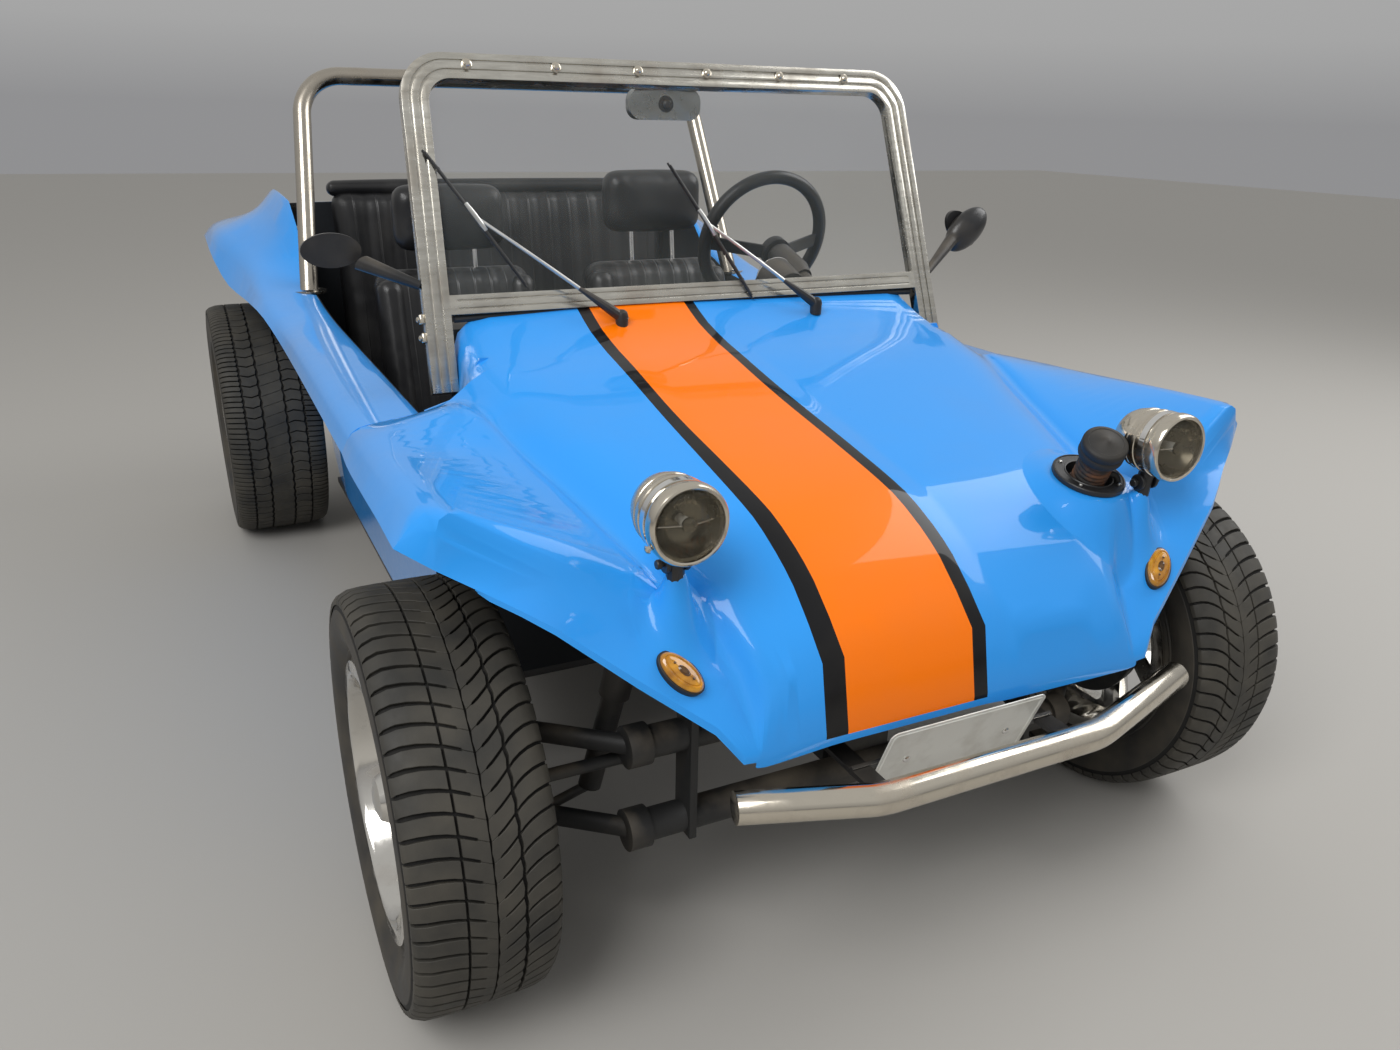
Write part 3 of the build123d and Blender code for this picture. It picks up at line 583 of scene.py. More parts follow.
def swelling(heights, known, with_seat):
    """The swelling under the lamp, and around the filler's ring where asked."""
    x, y = np.meshgrid(CORNER.x + np.arange(COLUMNS) * CELL, CORNER.y + np.arange(ROWS) * CELL, indexing="ij")
    out = np.hypot(x - STAND.x, y - STAND.y)
    rise = 1 / (1 + (out / STAND_RADIUS) ** STAND_POWER) * np.clip(1 - (out / STAND_REACH) ** 2, 0, 1) ** 1.5
    surface = heights + (STAND.z - heights) * np.minimum(rise * 1.08, 1)
    seat_out = np.hypot(x - FILLER_SEAT.x, y - FILLER_SEAT.y)
    if with_seat:
        seat = FILLER_SEAT.z + SEAT_SLOPE * (y - FILLER_SEAT.y)
        lift = np.clip(seat - heights, 0, None) * (1 - smoothed((seat_out - SEAT_RADIUS) / SEAT_FALL))
        surface = higher(surface, heights + lift, heights)
    above = surface - heights
    bridged = (out < DOME_RADIUS + 0.009) | (with_seat & ~known & (seat_out < SEAT_RADIUS + 0.015))
    inner = known.copy()
    for shift in ((2, 0), (-2, 0), (0, 2), (0, -2)):
        inner &= np.roll(known, shift, (0, 1))
    surface = surface + PROUD * bridged - PROUD * (above < 0.001) * ~bridged
    bpy.ops.mesh.primitive_grid_add(x_subdivisions=COLUMNS - 1, y_subdivisions=ROWS - 1, size=1)
    piece = bpy.context.object
    piece.data.transform(Matrix.Diagonal(((COLUMNS - 1) * CELL, (ROWS - 1) * CELL, 1, 1)))
    low = Vector([min(vertex.co[k] for vertex in piece.data.vertices) for k in range(3)])
    cells = []
    for vertex in piece.data.vertices:
        i, j = round((vertex.co.x - low.x) / CELL), round((vertex.co.y - low.y) / CELL)
        cells.append((i, j))
        vertex.co = (x[i, j], y[i, j], surface[i, j])

    def flat(face):
        spots = [cells[k] for k in face.vertices]
        in_ring = with_seat and min(seat_out[s] for s in spots) < SEAT_HOLE
        return in_ring or not any(bridged[s] or (inner[s] and above[s] > 0.0002) for s in spots)

    picked(piece, "FACE", flat)
    bpy.ops.mesh.delete(type="FACE")
    done(piece)
    return applied(piece, "SOLIDIFY", thickness=SKIN, offset=-1)


heights, known = ground_heights()
for vertex in front.data.vertices:
    side = 1 if vertex.co.x > 0 else -1
    from_axis = Vector((vertex.co.x * side - STAND.x, vertex.co.y - STAND.y))
    if from_axis.length < DOME_RADIUS:
        i, j = round((vertex.co.x * side - CORNER.x) / CELL), round((vertex.co.y - CORNER.y) / CELL)
        if vertex.co.z > heights[i, j] + 0.003:
            nearer = STAND.xy + from_axis * DOME_SHARE
            vertex.co = (side * nearer.x, nearer.y, vertex.co.z - DOME_DROP)
show(swelling(heights, known, True), "lamp_swelling_left", plain_blue, smooth=60)
right_swelling = swelling(heights, known, False)
right_swelling.data.transform(MIRROR)
right_swelling.data.flip_normals()
show(right_swelling, "lamp_swelling_right", plain_blue, smooth=60)

# %% [markdown]
# ## Tyre treads
# A tread is the hardest part of a car to make believable. Here each row of blocks is drawn once, flat: a
# table gives the places across the tyre, how far the cross groove leads or lags there, and how wide it is.
# Between two such grooves lies one block. The blocks of one pitch get their height, a small bevel, and copies
# all along the tyre's length; then the flat strip is bent into a ring, and sinks towards its shoulders. The
# fine wavy cuts are too many to model, so they are a bump that follows the same leads, with painted shade
# in them.

# %% Tread tables, in millimetres
# Each row: (across, lead, groove width) from the car's outside inwards, with the zigzag of its two ends.
FRONT_ROWS = (
    (((-97, -1, 3.4), (-92, -1.5, 6.4), (-78, -2.6, 6.2), (-60, -1.4, 5.6), (-42, 2.0, 5.0), (-31.5, 5.4, 4.4)),
     (0, 0), 7.5, 1),
    (((-28, 6.2, 4.6), (-18, 10.6, 4.6), (-7.5, 15.4, 4.0), (-6.5, 16, 0.3), (6.5, 22, 0.3)), (0, 0), 7.5, 1),
    (((9.5, 50.5, 0.3), (17, 45.4, 0.3), (18.5, 44.6, 3.4), (27, 38.6, 4.6), (38, 29, 4.6), (42, 25, 4.6)),
     (-1.6, 1.8), 7.5, 1),
    (((46.5, 21.6, 4.8), (52, 16, 4.8), (62, 9.2, 4.8), (74, 3.4, 4.6), (86, 0.2, 4.6), (97, -0.8, 4.8)),
     (1.8, 0), 7.5, 1),
)
REAR_ROWS = (
    (((-127, 0, 3.0), (-118, 0, 3.6), (-101, 1.2, 3.4), (-82, 3.0, 2.6)), (0, 3.2), 8, 2),
    (((-76, 2, 3.0), (-66, 5, 3.4), (-54, 8, 3.4), (-36, 3, 3.0)), (3.2, 3.2), 8, 1),
    (((-30, 8, 0.4), (-15, 4, 1.2), (0, 0, 0.5), (15, -4, 1.2), (26, -8, 0.4)), (3.2, 3.2), 8, 1),
    (((32, -3, 3.0), (50, -8, 3.4), (64, -5, 3.4), (74, -2, 3.0)), (3.2, 3.2), 8, 1),
    (((80, -3.0, 2.6), (101, -1.2, 3.4), (118, 0, 3.6), (127, 0, 3.0)), (3.2, 0), 8, 2),
)

# %% Bending a flat tread


def crown(across, half, radius):
    """Height of the tread's surface: nearly flat, then falling off fast at the shoulder."""
    share = min(abs(across) / half, 1)
    return radius - 0.002 * share ** 2 - 0.018 * share ** 11


def lead_at(points, across):
    """How far the cross grooves lead at a place across the tyre."""
    for (x0, lead0, _), (x1, lead1, _) in zip(points, points[1:]):
        if across <= x1:
            return lead0 + (lead1 - lead0) * max(0, across - x0) / (x1 - x0)
    return points[-1][1]


def tread_row(points, ends, height, share, pitch, count):
    """All blocks of one row, flat: x across and y around, with a map that follows the cross grooves."""
    pitch, count = pitch / share, count * share
    grid = []
    for i, (across, lead, gap) in enumerate(points):
        shift = ends[0] if i == 0 else ends[1] if i == len(points) - 1 else 0
        grid += [(across, lead + gap / 2, 0), (across + shift, lead + pitch / 2, 0),
                 (across, lead + pitch - gap / 2, 0)]
    corners = [3 * i + j for i in range(len(points) - 1) for j in (0, 1)]
    faces = [(corner, corner + 3, corner + 4, corner + 1) for corner in corners]
    mesh = bpy.data.meshes.new("tread_row")
    mesh.from_pydata([mm(*corner) for corner in grid], [], faces)
    piece = bpy.data.objects.new("tread_row", mesh)
    bpy.context.scene.collection.objects.link(piece)
    applied(piece, "SOLIDIFY", thickness=mm(height), offset=-1)
    applied(piece, "BEVEL", width=0.0006, segments=1, limit_method="ANGLE", angle_limit=math.radians(50))
    applied(piece, "ARRAY", count=count, use_relative_offset=False, use_constant_offset=True,
            constant_offset_displace=(0, mm(pitch), 0))
    flat_map = piece.data.uv_layers.new(name="flat")
    for loop in piece.data.loops:
        x, y, _ = piece.data.vertices[loop.vertex_index].co
        flat_map.data[loop.index].uv = (x, y - mm(lead_at(points, x * 1000)))
    return piece


def tread(rows, radius, width, count):
    """A whole ring of tread about the X axis, its outer side towards -X."""
    pitch = 2 * math.pi * radius * 1000 / count
    ring = joined([tread_row(*row, pitch, count) for row in rows])
    for vertex in ring.data.vertices:
        x, y, z = vertex.co
        angle, out = y / radius, crown(x, width / 2, radius) + z
        vertex.co = (x, -out * math.sin(angle), out * math.cos(angle))
    edit(ring)
    return done(ring, outward=True)


# %% [markdown]
# The rubber of the tread is worn grey-brown with garage dust. The flat map that was kept before bending gives
# the sipes: thin zigzag lines across every block, a few millimetres apart, pressed in by a bump and painted
# near-black as painted shade in the cuts.

# %% Rubber finishes


def tread_finish(name, half, spacing, sipes_from, sipes_to):
    """Dusty rubber with fine zigzag cuts across the tyre, painted near-black as painted shade."""
    material, tree, shader = finish_of(name)
    across, around, _ = xyz(tree, spot(tree, 2))
    wave = (across * (2 * math.pi / 0.0062)).math("SINE") * 0.0011
    phase = ((around + wave) / spacing).math("FRACT")
    sipe_cut_and_shade = 1 - ramp((phase - 0.5).math("ABSOLUTE"), 0.08, 0.21)
    sipe_cut_and_shade = sipe_cut_and_shade * (across > sipes_from) * (across < sipes_to)
    worn = ramp(noise(tree, 14, 6), 0.3, 0.75)
    rubber = mixed(tree, worn, (0.026, 0.025, 0.022), (0.066, 0.059, 0.046))
    # The cuts are painted near-black: painted shade inside them.
    plug(tree, shader.inputs["Base Color"], mixed(tree, sipe_cut_and_shade * 0.92, rubber, (0.006, 0.0055, 0.005)))
    plug(tree, shader.inputs["Roughness"], noise(tree, 60, 2) * 0.25 + 0.55)
    bumped(tree, shader, noise(tree, 500, 3) * 0.15 - sipe_cut_and_shade, 0.7, 0.0012)
    return material


def wall_finish():
    """Sidewall rubber: fine rings, and dust in patches."""
    material, tree, shader = finish_of("tyre_wall")
    radius, _, _ = xyz(tree, spot(tree, 2))
    rings = (radius * (2 * math.pi / 0.004)).math("SINE") * 0.5
    patches = ramp(noise(tree, 12, 6), 0.35, 0.7)
    plug(tree, shader.inputs["Base Color"],
         mixed(tree, patches * 0.75, (0.022, 0.021, 0.02), (0.085, 0.072, 0.052)))
    plug(tree, shader.inputs["Roughness"], patches * 0.2 + 0.58)
    bumped(tree, shader, rings * 0.3 + noise(tree, 350, 3), 0.35, 0.0005)
    return material


front_tread_rubber = tread_finish("front_tread", 0.1, 0.0058, -0.088, 0.086)
rear_tread_rubber = tread_finish("rear_tread", 0.13, 0.0086, -0.118, 0.118)
# Near-black rubber on the groove floors: painted shade in the grooves, with a little dust.
groove_floor_painted_shade = dusty("groove_floor_painted_shade", (0.006, 0.0055, 0.005), 0.85, 0.10, 0.4, 400, tint=(0.08, 0.07, 0.05))
wall_rubber = wall_finish()

# %% The four tyres
TYRES = (
    # node end,     side, behind, radius, width, half track, rim width, rows, count, finish
    ("front_left", 1, 0, 310, 200, 681, 178, FRONT_ROWS, 70, front_tread_rubber),
    ("front_right", -1, 0, 310, 200, 681, 178, FRONT_ROWS, 70, front_tread_rubber),
    ("rear_left", 1, 2100, 343, 260, 703, 230, REAR_ROWS, 72, rear_tread_rubber),
    ("rear_right", -1, 2100, 343, 260, 703, 230, REAR_ROWS, 72, rear_tread_rubber),
)
GROOVE_DEPTH = 6.5


def carcass(radius, width, rim):
    """The tyre below its tread: beads, bulging walls with a rim guard rib, and the floor of the grooves."""
    half, bead = width / 2, rim / 2 - 7
    side = [(191, bead - 3), (206, bead), (213, bead - 1), (216, bead + 3), (219, bead + 4.5), (222, bead + 3.2),
            (236, half - 4.5), (radius - 58, half - 0.8), (radius - 54, half - 0.2), (radius - 40, half - 0.4),
            (radius - 30, half - 1.4), (radius - 29, half - 2.2), (radius - 22, half - 5)]
    floor = [(crown(mm(x), mm(half), mm(radius)) * 1000 - GROOVE_DEPTH, x)
             for x in (half - 8, half - 14, half - 22, half * 0.6, half * 0.3, 0)]
    outline = side + floor
    outline += [(r, -x) for r, x in outline[-2::-1]]
    piece = turned(outline, (0, 0, 0), steps=140)
    ring_map = piece.data.uv_layers.new(name="flat")
    for loop in piece.data.loops:
        x, y, z = piece.data.vertices[loop.vertex_index].co
        ring_map.data[loop.index].uv = (math.hypot(y, z), x)
    return piece


made = {}
for end, side, behind, radius, width, half_track, rim, rows, count, rubber in TYRES:
    if radius not in made:
        wall = carcass(radius, width, rim)
        for finish in (wall_rubber, groove_floor_painted_shade):
            wall.data.materials.append(finish)
        # The groove floors below the tread get the near-black finish as painted shade.
        second_finish(wall, lambda middle, _: math.hypot(middle.y, middle.z) > mm(radius - 26))
        blocks = tread(rows, mm(radius), mm(width), count)
        blocks.data.materials.append(rubber)
        made[radius] = joined([wall, blocks])
    matrix = Matrix.Translation(at(side * half_track, behind, radius))
    if side > 0:
        matrix = matrix @ MIRROR
    show(twin(made[radius], matrix), "tyre_treaded_" + end, [], "wheel_" + end, ["tyre_" + end], 30)
for piece in made.values():
    bpy.data.objects.remove(piece)

# %% [markdown]
# ## Wheels
# The wheels are cast and polished, with eight windows and a tall domed cap. The frame's wheel has the right
# shape, so it is merged, its flat facets are joined again, and its edges get a small bevel that catches the
# light. Chrome shows mostly what is around it, so its own work is in the roughness: fine smudges, and dust in
# the dish. Five nuts sit round the cap.

# %% Chrome and steel


def chrome_finish(name, colour=(0.78, 0.77, 0.75), rough=0.07, dirt=0.3, tint=(0.16, 0.13, 0.10)):
    """Polished plating with smudges, and patches of dirt where asked."""
    material, tree, shader = finish_of(name)
    patches = ramp(noise(tree, 17, 6), 0.48, 0.8) * dirt
    plug(tree, shader.inputs["Base Color"], mixed(tree, patches, colour, tint))
    plug(tree, shader.inputs["Metallic"], 1 - patches * 0.8)
    plug(tree, shader.inputs["Roughness"], ramp(noise(tree, 45, 4), 0.35, 0.8) * 0.12 + patches * 0.5 + rough)
    bumped(tree, shader, noise(tree, 22, 1), 0.04, 0.002)
    return material


wheel_chrome = chrome_finish("wheel_chrome", (0.66, 0.64, 0.60), 0.08, 0.6)
bright_chrome = chrome_finish("bright_chrome", rough=0.05, dirt=0.12)
old_chrome = chrome_finish("old_chrome", (0.64, 0.59, 0.50), 0.09, 0.5, (0.17, 0.12, 0.07))

# %% Rims with their nuts


def wheel_nut(centre, side):
    """One hexagon nut with a bevelled, domed end, pointing outwards."""
    bpy.ops.mesh.primitive_cylinder_add(vertices=6, radius=0.0105, depth=0.018, location=centre,
                                        rotation=(0, side * math.pi / 2, 0))
    nut = bpy.context.object
    bpy.ops.object.transform_apply(location=True, rotation=True)
    picked(nut, "FACE", lambda face: face.normal.x * side > 0.9)
    bpy.ops.mesh.inset(thickness=0.0018)
    bpy.ops.transform.translate(value=(side * 0.004, 0, 0))
    return done(nut)


NUT_CIRCLE, NUT_FACE = 0.052, 0.031
for end, side, behind, radius, width, half_track, rim, *_ in TYRES:
    dressed("rim_" + end, wheel_chrome, 30, 0.0012)
    nuts = []
    for i in range(5):
        angle = 2 * math.pi * i / 5
        centre = at(side * half_track, behind, radius) + Vector(
            (side * NUT_FACE, NUT_CIRCLE * math.sin(angle), NUT_CIRCLE * math.cos(angle)))
        nuts.append(wheel_nut(centre, side))
    show(joined(nuts), "wheel_nuts_" + end, bright_chrome, "wheel_" + end, (), 25)

# %% [markdown]
# ## The windscreen
# The frame is drawn aluminium, years old: it has lost its shine in streaks along its length and has gone
# cloudy. Its ridges are in the frame's solid already. Snap studs for a hood run along the top rail, two
# clips sit on the car's right post, and a dark seal lies under the lower rail.

# %% Windscreen plane
RAKE = math.radians(20.4)
SCREEN_FOOT = at(0, 507, 924)
SCREEN_UP = Vector((0, math.sin(RAKE), math.cos(RAKE)))
SCREEN_OUT = Vector((0, -math.cos(RAKE), math.sin(RAKE)))


def on_screen(across, up, off):
    """A place on the windscreen from millimetres: across, up the glass and ahead of it."""
    return SCREEN_FOOT + X_AXIS * mm(across) + SCREEN_UP * mm(up) + SCREEN_OUT * mm(off)


# %% Weathered aluminium, rubber and glass


def aluminium_finish():
    """Drawn aluminium, darker in streaks and dulled in cloudy patches."""
    material, tree, shader = finish_of("weathered_aluminium")
    streaks = ramp(noise(tree, 30, 5, stretched(tree, (0.6, 4, 4))), 0.25, 0.62)
    cloud = ramp(noise(tree, 14, 6), 0.4, 0.72)
    bare = mixed(tree, cloud, (0.66, 0.64, 0.58), (0.34, 0.31, 0.26))
    plug(tree, shader.inputs["Base Color"], mixed(tree, streaks * 0.35 + 0.65, (0.30, 0.28, 0.24), bare))
    plug(tree, shader.inputs["Metallic"], 1 - cloud * 0.35)
    plug(tree, shader.inputs["Roughness"], streaks * 0.10 + cloud * 0.18 + 0.14)
    bumped(tree, shader, streaks * 0.4 + noise(tree, 220, 3) * 0.4, 0.2, 0.0006)
    return material


def glass_finish(name, colour, alpha, dirt):
    """Thin clear glass: mostly see-through, with a film of dust that thickens in patches."""
    material, tree, shader = finish_of(name, Base_Color=colour, Specular_IOR_Level=0.6)
    film = ramp(noise(tree, 5, 6), 0.35, 0.8) * dirt
    plug(tree, shader.inputs["Alpha"], film + alpha)
    plug(tree, shader.inputs["Roughness"], film * 0.8 + 0.02)
    return material


aluminium = aluminium_finish()
screen_glass = glass_finish("screen_glass", (0.55, 0.60, 0.58), 0.015, 0.03)
black_rubber = dusty("black_rubber", (0.014, 0.014, 0.014), 0.6, 0.2, 0.3, 400)
satin_black = dusty("satin_black", (0.014, 0.014, 0.015), 0.38, 0.25, 0.25, 700)
dressed("windscreen_frame", aluminium, 30, 0.0006)
dressed("windscreen_glass", screen_glass, 30)

# %% Studs, clips and seal
STUDS_ACROSS, STUDS_UP, CLIPS_UP = (-405, -241, -79, 65, 227, 380), 417, (-20, -52)
STUD = ((0, 0), (9.5, 0), (9.5, 2.2), (7.8, 3.4), (6.2, 3.6), (5.8, 6.6), (4.0, 8.2), (0, 8.6))
CLIP_SCREW = ((0, 0), (5, 0), (5, 3), (2, 5), (0, 5))
SEAL = ((-488, 0), (-300, 6), (0, 7), (300, 6), (488, 0))
studs = [turned(STUD, on_screen(across, STUDS_UP, 11.8), SCREEN_OUT, X_AXIS, 20) for across in STUDS_ACROSS]
show(joined(studs), "hood_studs", old_chrome)
clips = []
for up in CLIPS_UP:
    bpy.ops.mesh.primitive_cube_add(size=1, location=on_screen(-544, up, 0), rotation=(-RAKE, 0, 0),
                                    scale=mm(10, 14, 18))
    clips.append(applied(bpy.context.object, "BEVEL", width=0.003, segments=3))
    bpy.ops.object.transform_apply(location=True, rotation=True, scale=True)
    clips.append(turned(CLIP_SCREW, on_screen(-549, up, 0), -X_AXIS, Z_AXIS, 14))
show(joined(clips), "post_clips", old_chrome)
show(tube([at(x, 501, 902 + lift) for x, lift in SEAL], 0.006), "rail_seal", black_rubber)

# %% [markdown]
# ## Wipers
# Each wiper has a fat black boss on its spindle, a thin bright arm, and a blade: a thin rail that holds a
# rubber lip on the glass. The boss is a curve whose radius tapers; the joint is a small turned pin.

# %% The two wipers
WIPERS = (
    # pivot,         joint,           blade's top,     blade's foot
    ((-196, -48, 52), (-429, 149, 19), (-504, 267, 17), (-353, 24, 17)),
    ((218, -47, 53), (19, 129, 19), (-44, 245, 17), (100, -20, 18)),
)
wiper_arm = chrome_finish("wiper_arm", (0.60, 0.60, 0.58), 0.28, 0.5)
BOSS = ((0, -18), (11, -18), (12, 4), (10, 11), (5, 15), (0, 15.5))
black_bits, bright_bits = [], []
for pivot, joint, top, foot in WIPERS:
    start, end, high, low = (on_screen(*place) for place in (pivot, joint, top, foot))

    def on_arm(share, lift=0.0):
        return start.lerp(end, share) + SCREEN_OUT * lift

    def on_blade(share, lift=0.0):
        return low.lerp(high, share) + SCREEN_OUT * lift

    black_bits.append(turned(BOSS, start, Z_AXIS, X_AXIS, 24))
    black_bits.append(tube([(*on_arm(-0.03), 0.9), (*on_arm(0.04, 0.003), 1.1), (*on_arm(0.16, 0.003), 0.8),
                            (*on_arm(0.30, 0.001), 0.42)], 0.0095))
    bright_bits.append(tube([on_arm(0.27, 0.001), (*on_arm(0.6, 0.004), 1.05), (*on_arm(1), 0.8)], 0.0036))
    black_bits.append(tube([(*on_blade(0.02), 0.7), (*on_blade(0.5, 0.004), 1.2), (*on_blade(0.98), 0.7)], 0.0034))
    black_bits.append(tube([on_blade(0, -0.004), on_blade(0.5, -0.002), on_blade(1, -0.004)], 0.0022, False))
    for share in (0.14, 0.34, 0.66, 0.86):
        black_bits.append(tube([on_blade(share, 0.003), on_blade(share, -0.005)], 0.0030, False))
    half_pin = (high - low).normalized() * 0.028
    bright_bits.append(tube([end - half_pin, end + SCREEN_OUT * 0.005, end + half_pin], 0.0042))
show(joined(black_bits), "wiper_black", satin_black, CHASSIS, ["wipers"])
show(joined(bright_bits), "wiper_arms", wiper_arm, CHASSIS, ["wipers"])

# %% [markdown]
# ## Lamps
# The headlamps are bullets: a spun steel shell with two raised bands, a rolled rim, a bowl that reflects, a
# bulb, and a glass with flutes. Everything about them is round, so each is a turned line; the flutes are a
# bump on the glass. One lamp is made on the car's left and mirrored. The indicators are shallow ovals: a disc
# is drawn, inset and raised step by step.

# %% Lamp finishes


def lamp_glass_finish():
    """Clear glass with upright flutes pressed into it."""
    material, tree, shader = finish_of("lamp_glass", Base_Color=(0.14, 0.13, 0.10), Roughness=0.03, Alpha=0.14)
    x, _, z = xyz(tree, spot(tree))
    flutes = (x * (2 * math.pi / 0.0065)).math("SINE") * ramp((z - 0.782).math("ABSOLUTE"), 0.004, 0.010)
    flutes = flutes + (z * (2 * math.pi / 0.022)).math("SINE") * 0.5
    bumped(tree, shader, flutes, 0.8, 0.0014)
    return material


def lens_finish(name, colour, deep):
    """Coloured plastic, deeper in colour in patches, with a fine grain."""
    material, tree, shader = finish_of(name, Roughness=0.12, Coat_Weight=0.6)
    patches = ramp(noise(tree, 60, 3), 0.3, 0.7)
    plug(tree, shader.inputs["Base Color"], mixed(tree, patches, colour, deep))
    bumped(tree, shader, noise(tree, 160, 2), 0.25, 0.0006)
    return material


lamp_glass = lamp_glass_finish()
amber = lens_finish("amber", (0.66, 0.30, 0.015), (0.30, 0.115, 0.008))
amber_deep = lens_finish("amber_deep", (0.16, 0.07, 0.01), (0.05, 0.022, 0.006))
red_lens = lens_finish("red_lens", (0.42, 0.012, 0.010), (0.25, 0.008, 0.008))
bowl_silver = chrome_finish("bowl_silver", (0.17, 0.145, 0.10), 0.12, 0.6, (0.03, 0.025, 0.018))
bulb_glass = glass_finish("bulb_glass", (0.9, 0.88, 0.8), 0.35, 0.1)

# %% Headlamps
FACE = at(412, -302, 788)
SHELL = ((0, 112), (10, 111.5), (20, 109), (30, 104), (38, 96), (43.5, 86), (46.5, 76), (47.3, 70), (48.8, 69),
         (49.2, 66.5), (48.8, 64), (47.9, 63), (48.8, 54), (50.4, 53), (50.9, 50.5), (50.4, 48), (49.1, 47),
         (49.8, 32), (50.0, 21), (52.6, 20), (53.6, 17), (53.8, 10), (53.0, 4.5), (51, 1.4), (48.4, 0.2),
         (46.4, 1.6), (45.9, 4), (46.3, 7))
BOWL = ((46.3, 7), (43, 9), (40, 15), (34, 24), (27, 30.5), (19, 34.5), (10, 36.5), (7, 36.8), (7, 34), (0, 34))
LENS = ((0, -5.5), (12, -5.0), (24, -3.4), (35, -0.8), (42, 1.8), (45.6, 4.2), (45.4, 6.2), (41, 4.2), (34, 1.4),
        (23, -1.2), (0, -3.2))
BAND = ((50.6, 28), (51.8, 28.4), (51.8, 38.6), (50.6, 39), (49.6, 38.6), (49.6, 28.4), (50.6, 28))
BULB = ((0, 9), (5, 10), (7.5, 14), (7.5, 20), (6.5, 27), (6.5, 34.5), (0, 34.5))
CUP = ((0, 2.0), (6, 2.4), (9.2, 4.6), (9.8, 9), (9.2, 9), (8.6, 5.4), (5.6, 3.4), (0, 3.0))
LAMP_SCREW = ((0, -1), (3.6, -1), (3.6, 2), (5.4, 2), (5.4, 4), (3, 6), (0, 6.4))
EAR = ((0, 0), (12, 0), (13, 1.5), (13, 4.5), (12, 6), (0, 6))
BOLT = ((0, -27), (5.5, -27), (6.5, -25.5), (6.5, -21), (4, -21), (4, 21), (6.5, 21), (6.5, 25.5), (5.5, 27), (0, 27))


def in_lamp(profile, steps=72):
    """A line spun about the lamp's own axis, from its face backwards."""
    return turned(profile, FACE, Y_AXIS, Z_AXIS, steps)


housing, bowl, lens = (in_lamp(profile) for profile in (SHELL, BOWL, LENS))
edit(bowl)
bpy.ops.mesh.flip_normals()
done(bowl)
bulb, shade_cup = in_lamp(BULB, 24), in_lamp(CUP, 28)
holders = [tube([FACE + Vector((mm(dx), 0.008, 0)), FACE + Vector((mm(dx * 4.2), 0.0155, 0))], 0.0012, False)
           for dx in (-9, 9)]
screw = turned(LAMP_SCREW, FACE + Vector(mm(50, 12, -24)), (0.90, -0.05, -0.43), (0.43, 0, 0.90), 16)
bracket = tube([(*at(406, -245, 672), 1.1), at(407, -247, 716), (*at(410, -250, 742), 1.1)], 0.0115)
ears = [turned(EAR, at(x, -249, 722), X_AXIS, Z_AXIS, 24) for x in (391, 419)]
bolt = turned(BOLT, at(408, -249, 722), X_AXIS, Z_AXIS, 12)
band = in_lamp(BAND)
for name, pieces, finish, node in (
        ("headlamp_shells", [housing, screw, *holders], old_chrome, "headlamps"),
        ("headlamp_bands", [band], bright_chrome, "headlamps"),
        ("headlamp_bowls", [bowl, shade_cup], bowl_silver, "headlamps"),
        ("headlamp_bulbs", [bulb], bulb_glass, "headlamps"),
        ("headlamp_feet", [bracket, *ears, bolt], satin_black, "headlamps"),
        ("headlamp_glasses", [lens], lamp_glass, "headlamp_lenses")):
    both_sides(pieces, name, finish, node)

# %% Indicators


def oval(place, normal, longways, half_long, half_short, steps):
    """A rounded oval that is inset and raised step by step: (inset, lift) in millimetres."""
    bpy.ops.mesh.primitive_circle_add(vertices=40, radius=1, fill_type="NGON", location=(0, 0, 0))
    piece = bpy.context.object
    edit(piece)
    bpy.ops.transform.resize(value=(mm(half_long), mm(half_short), 1))
    bpy.ops.mesh.extrude_region_move(TRANSFORM_OT_translate={"value": (0, 0, mm(steps[0][1]))})
    for inset, lift in steps[1:]:
        bpy.ops.mesh.inset(thickness=mm(inset))
        bpy.ops.transform.translate(value=(0, 0, mm(lift)))
    done(piece, merge=1e-6, outward=True)
    normal, longways = Vector(normal).normalized(), Vector(longways).normalized()
    matrix = Matrix((longways, normal.cross(longways), normal)).transposed().to_4x4()
    piece.data.transform(Matrix.Translation(place) @ matrix)
    return piece


IND_NORMAL, IND_LONG = (-0.16, -0.72, 0.67), (0.63, 0.455, 0.63)
IND_PLACE = at(420, -292, 587) - Vector(IND_NORMAL).normalized() * 0.009


def on_indicator(half_long, half_short, steps, along=0):
    """An oval in the indicator's plane, moved along it by millimetres where asked."""
    place = IND_PLACE + Vector(IND_LONG).normalized() * mm(along)
    return oval(place, IND_NORMAL, IND_LONG, half_long, half_short, steps)


gasket = on_indicator(37, 21, ((0, 13.5), (1.5, 1.0), (3, 0)))
dome = on_indicator(34.5, 18.5, ((0, 15), (0.6, 1.6), (1.6, 1.9), (2.4, 1.4), (1.2, -1.4), (1.0, 0), (1.2, 1.6),
                                 (3, 0.9)))
relief = on_indicator(9.5, 5.2, ((0, 21.6), (1.0, 0.8), (1.4, -0.8), (0.8, 0.6)))
pins = [on_indicator(1.7, 1.7, ((0, 22.2), (0.5, 0.3)), along) for along in (-16, 16)]
for name, pieces, finish in (("gaskets", [gasket], black_rubber), ("lenses", [dome], amber),
                             ("reliefs", [relief, *pins], amber_deep)):
    both_sides(pieces, "indicator_" + name, finish, "indicators")

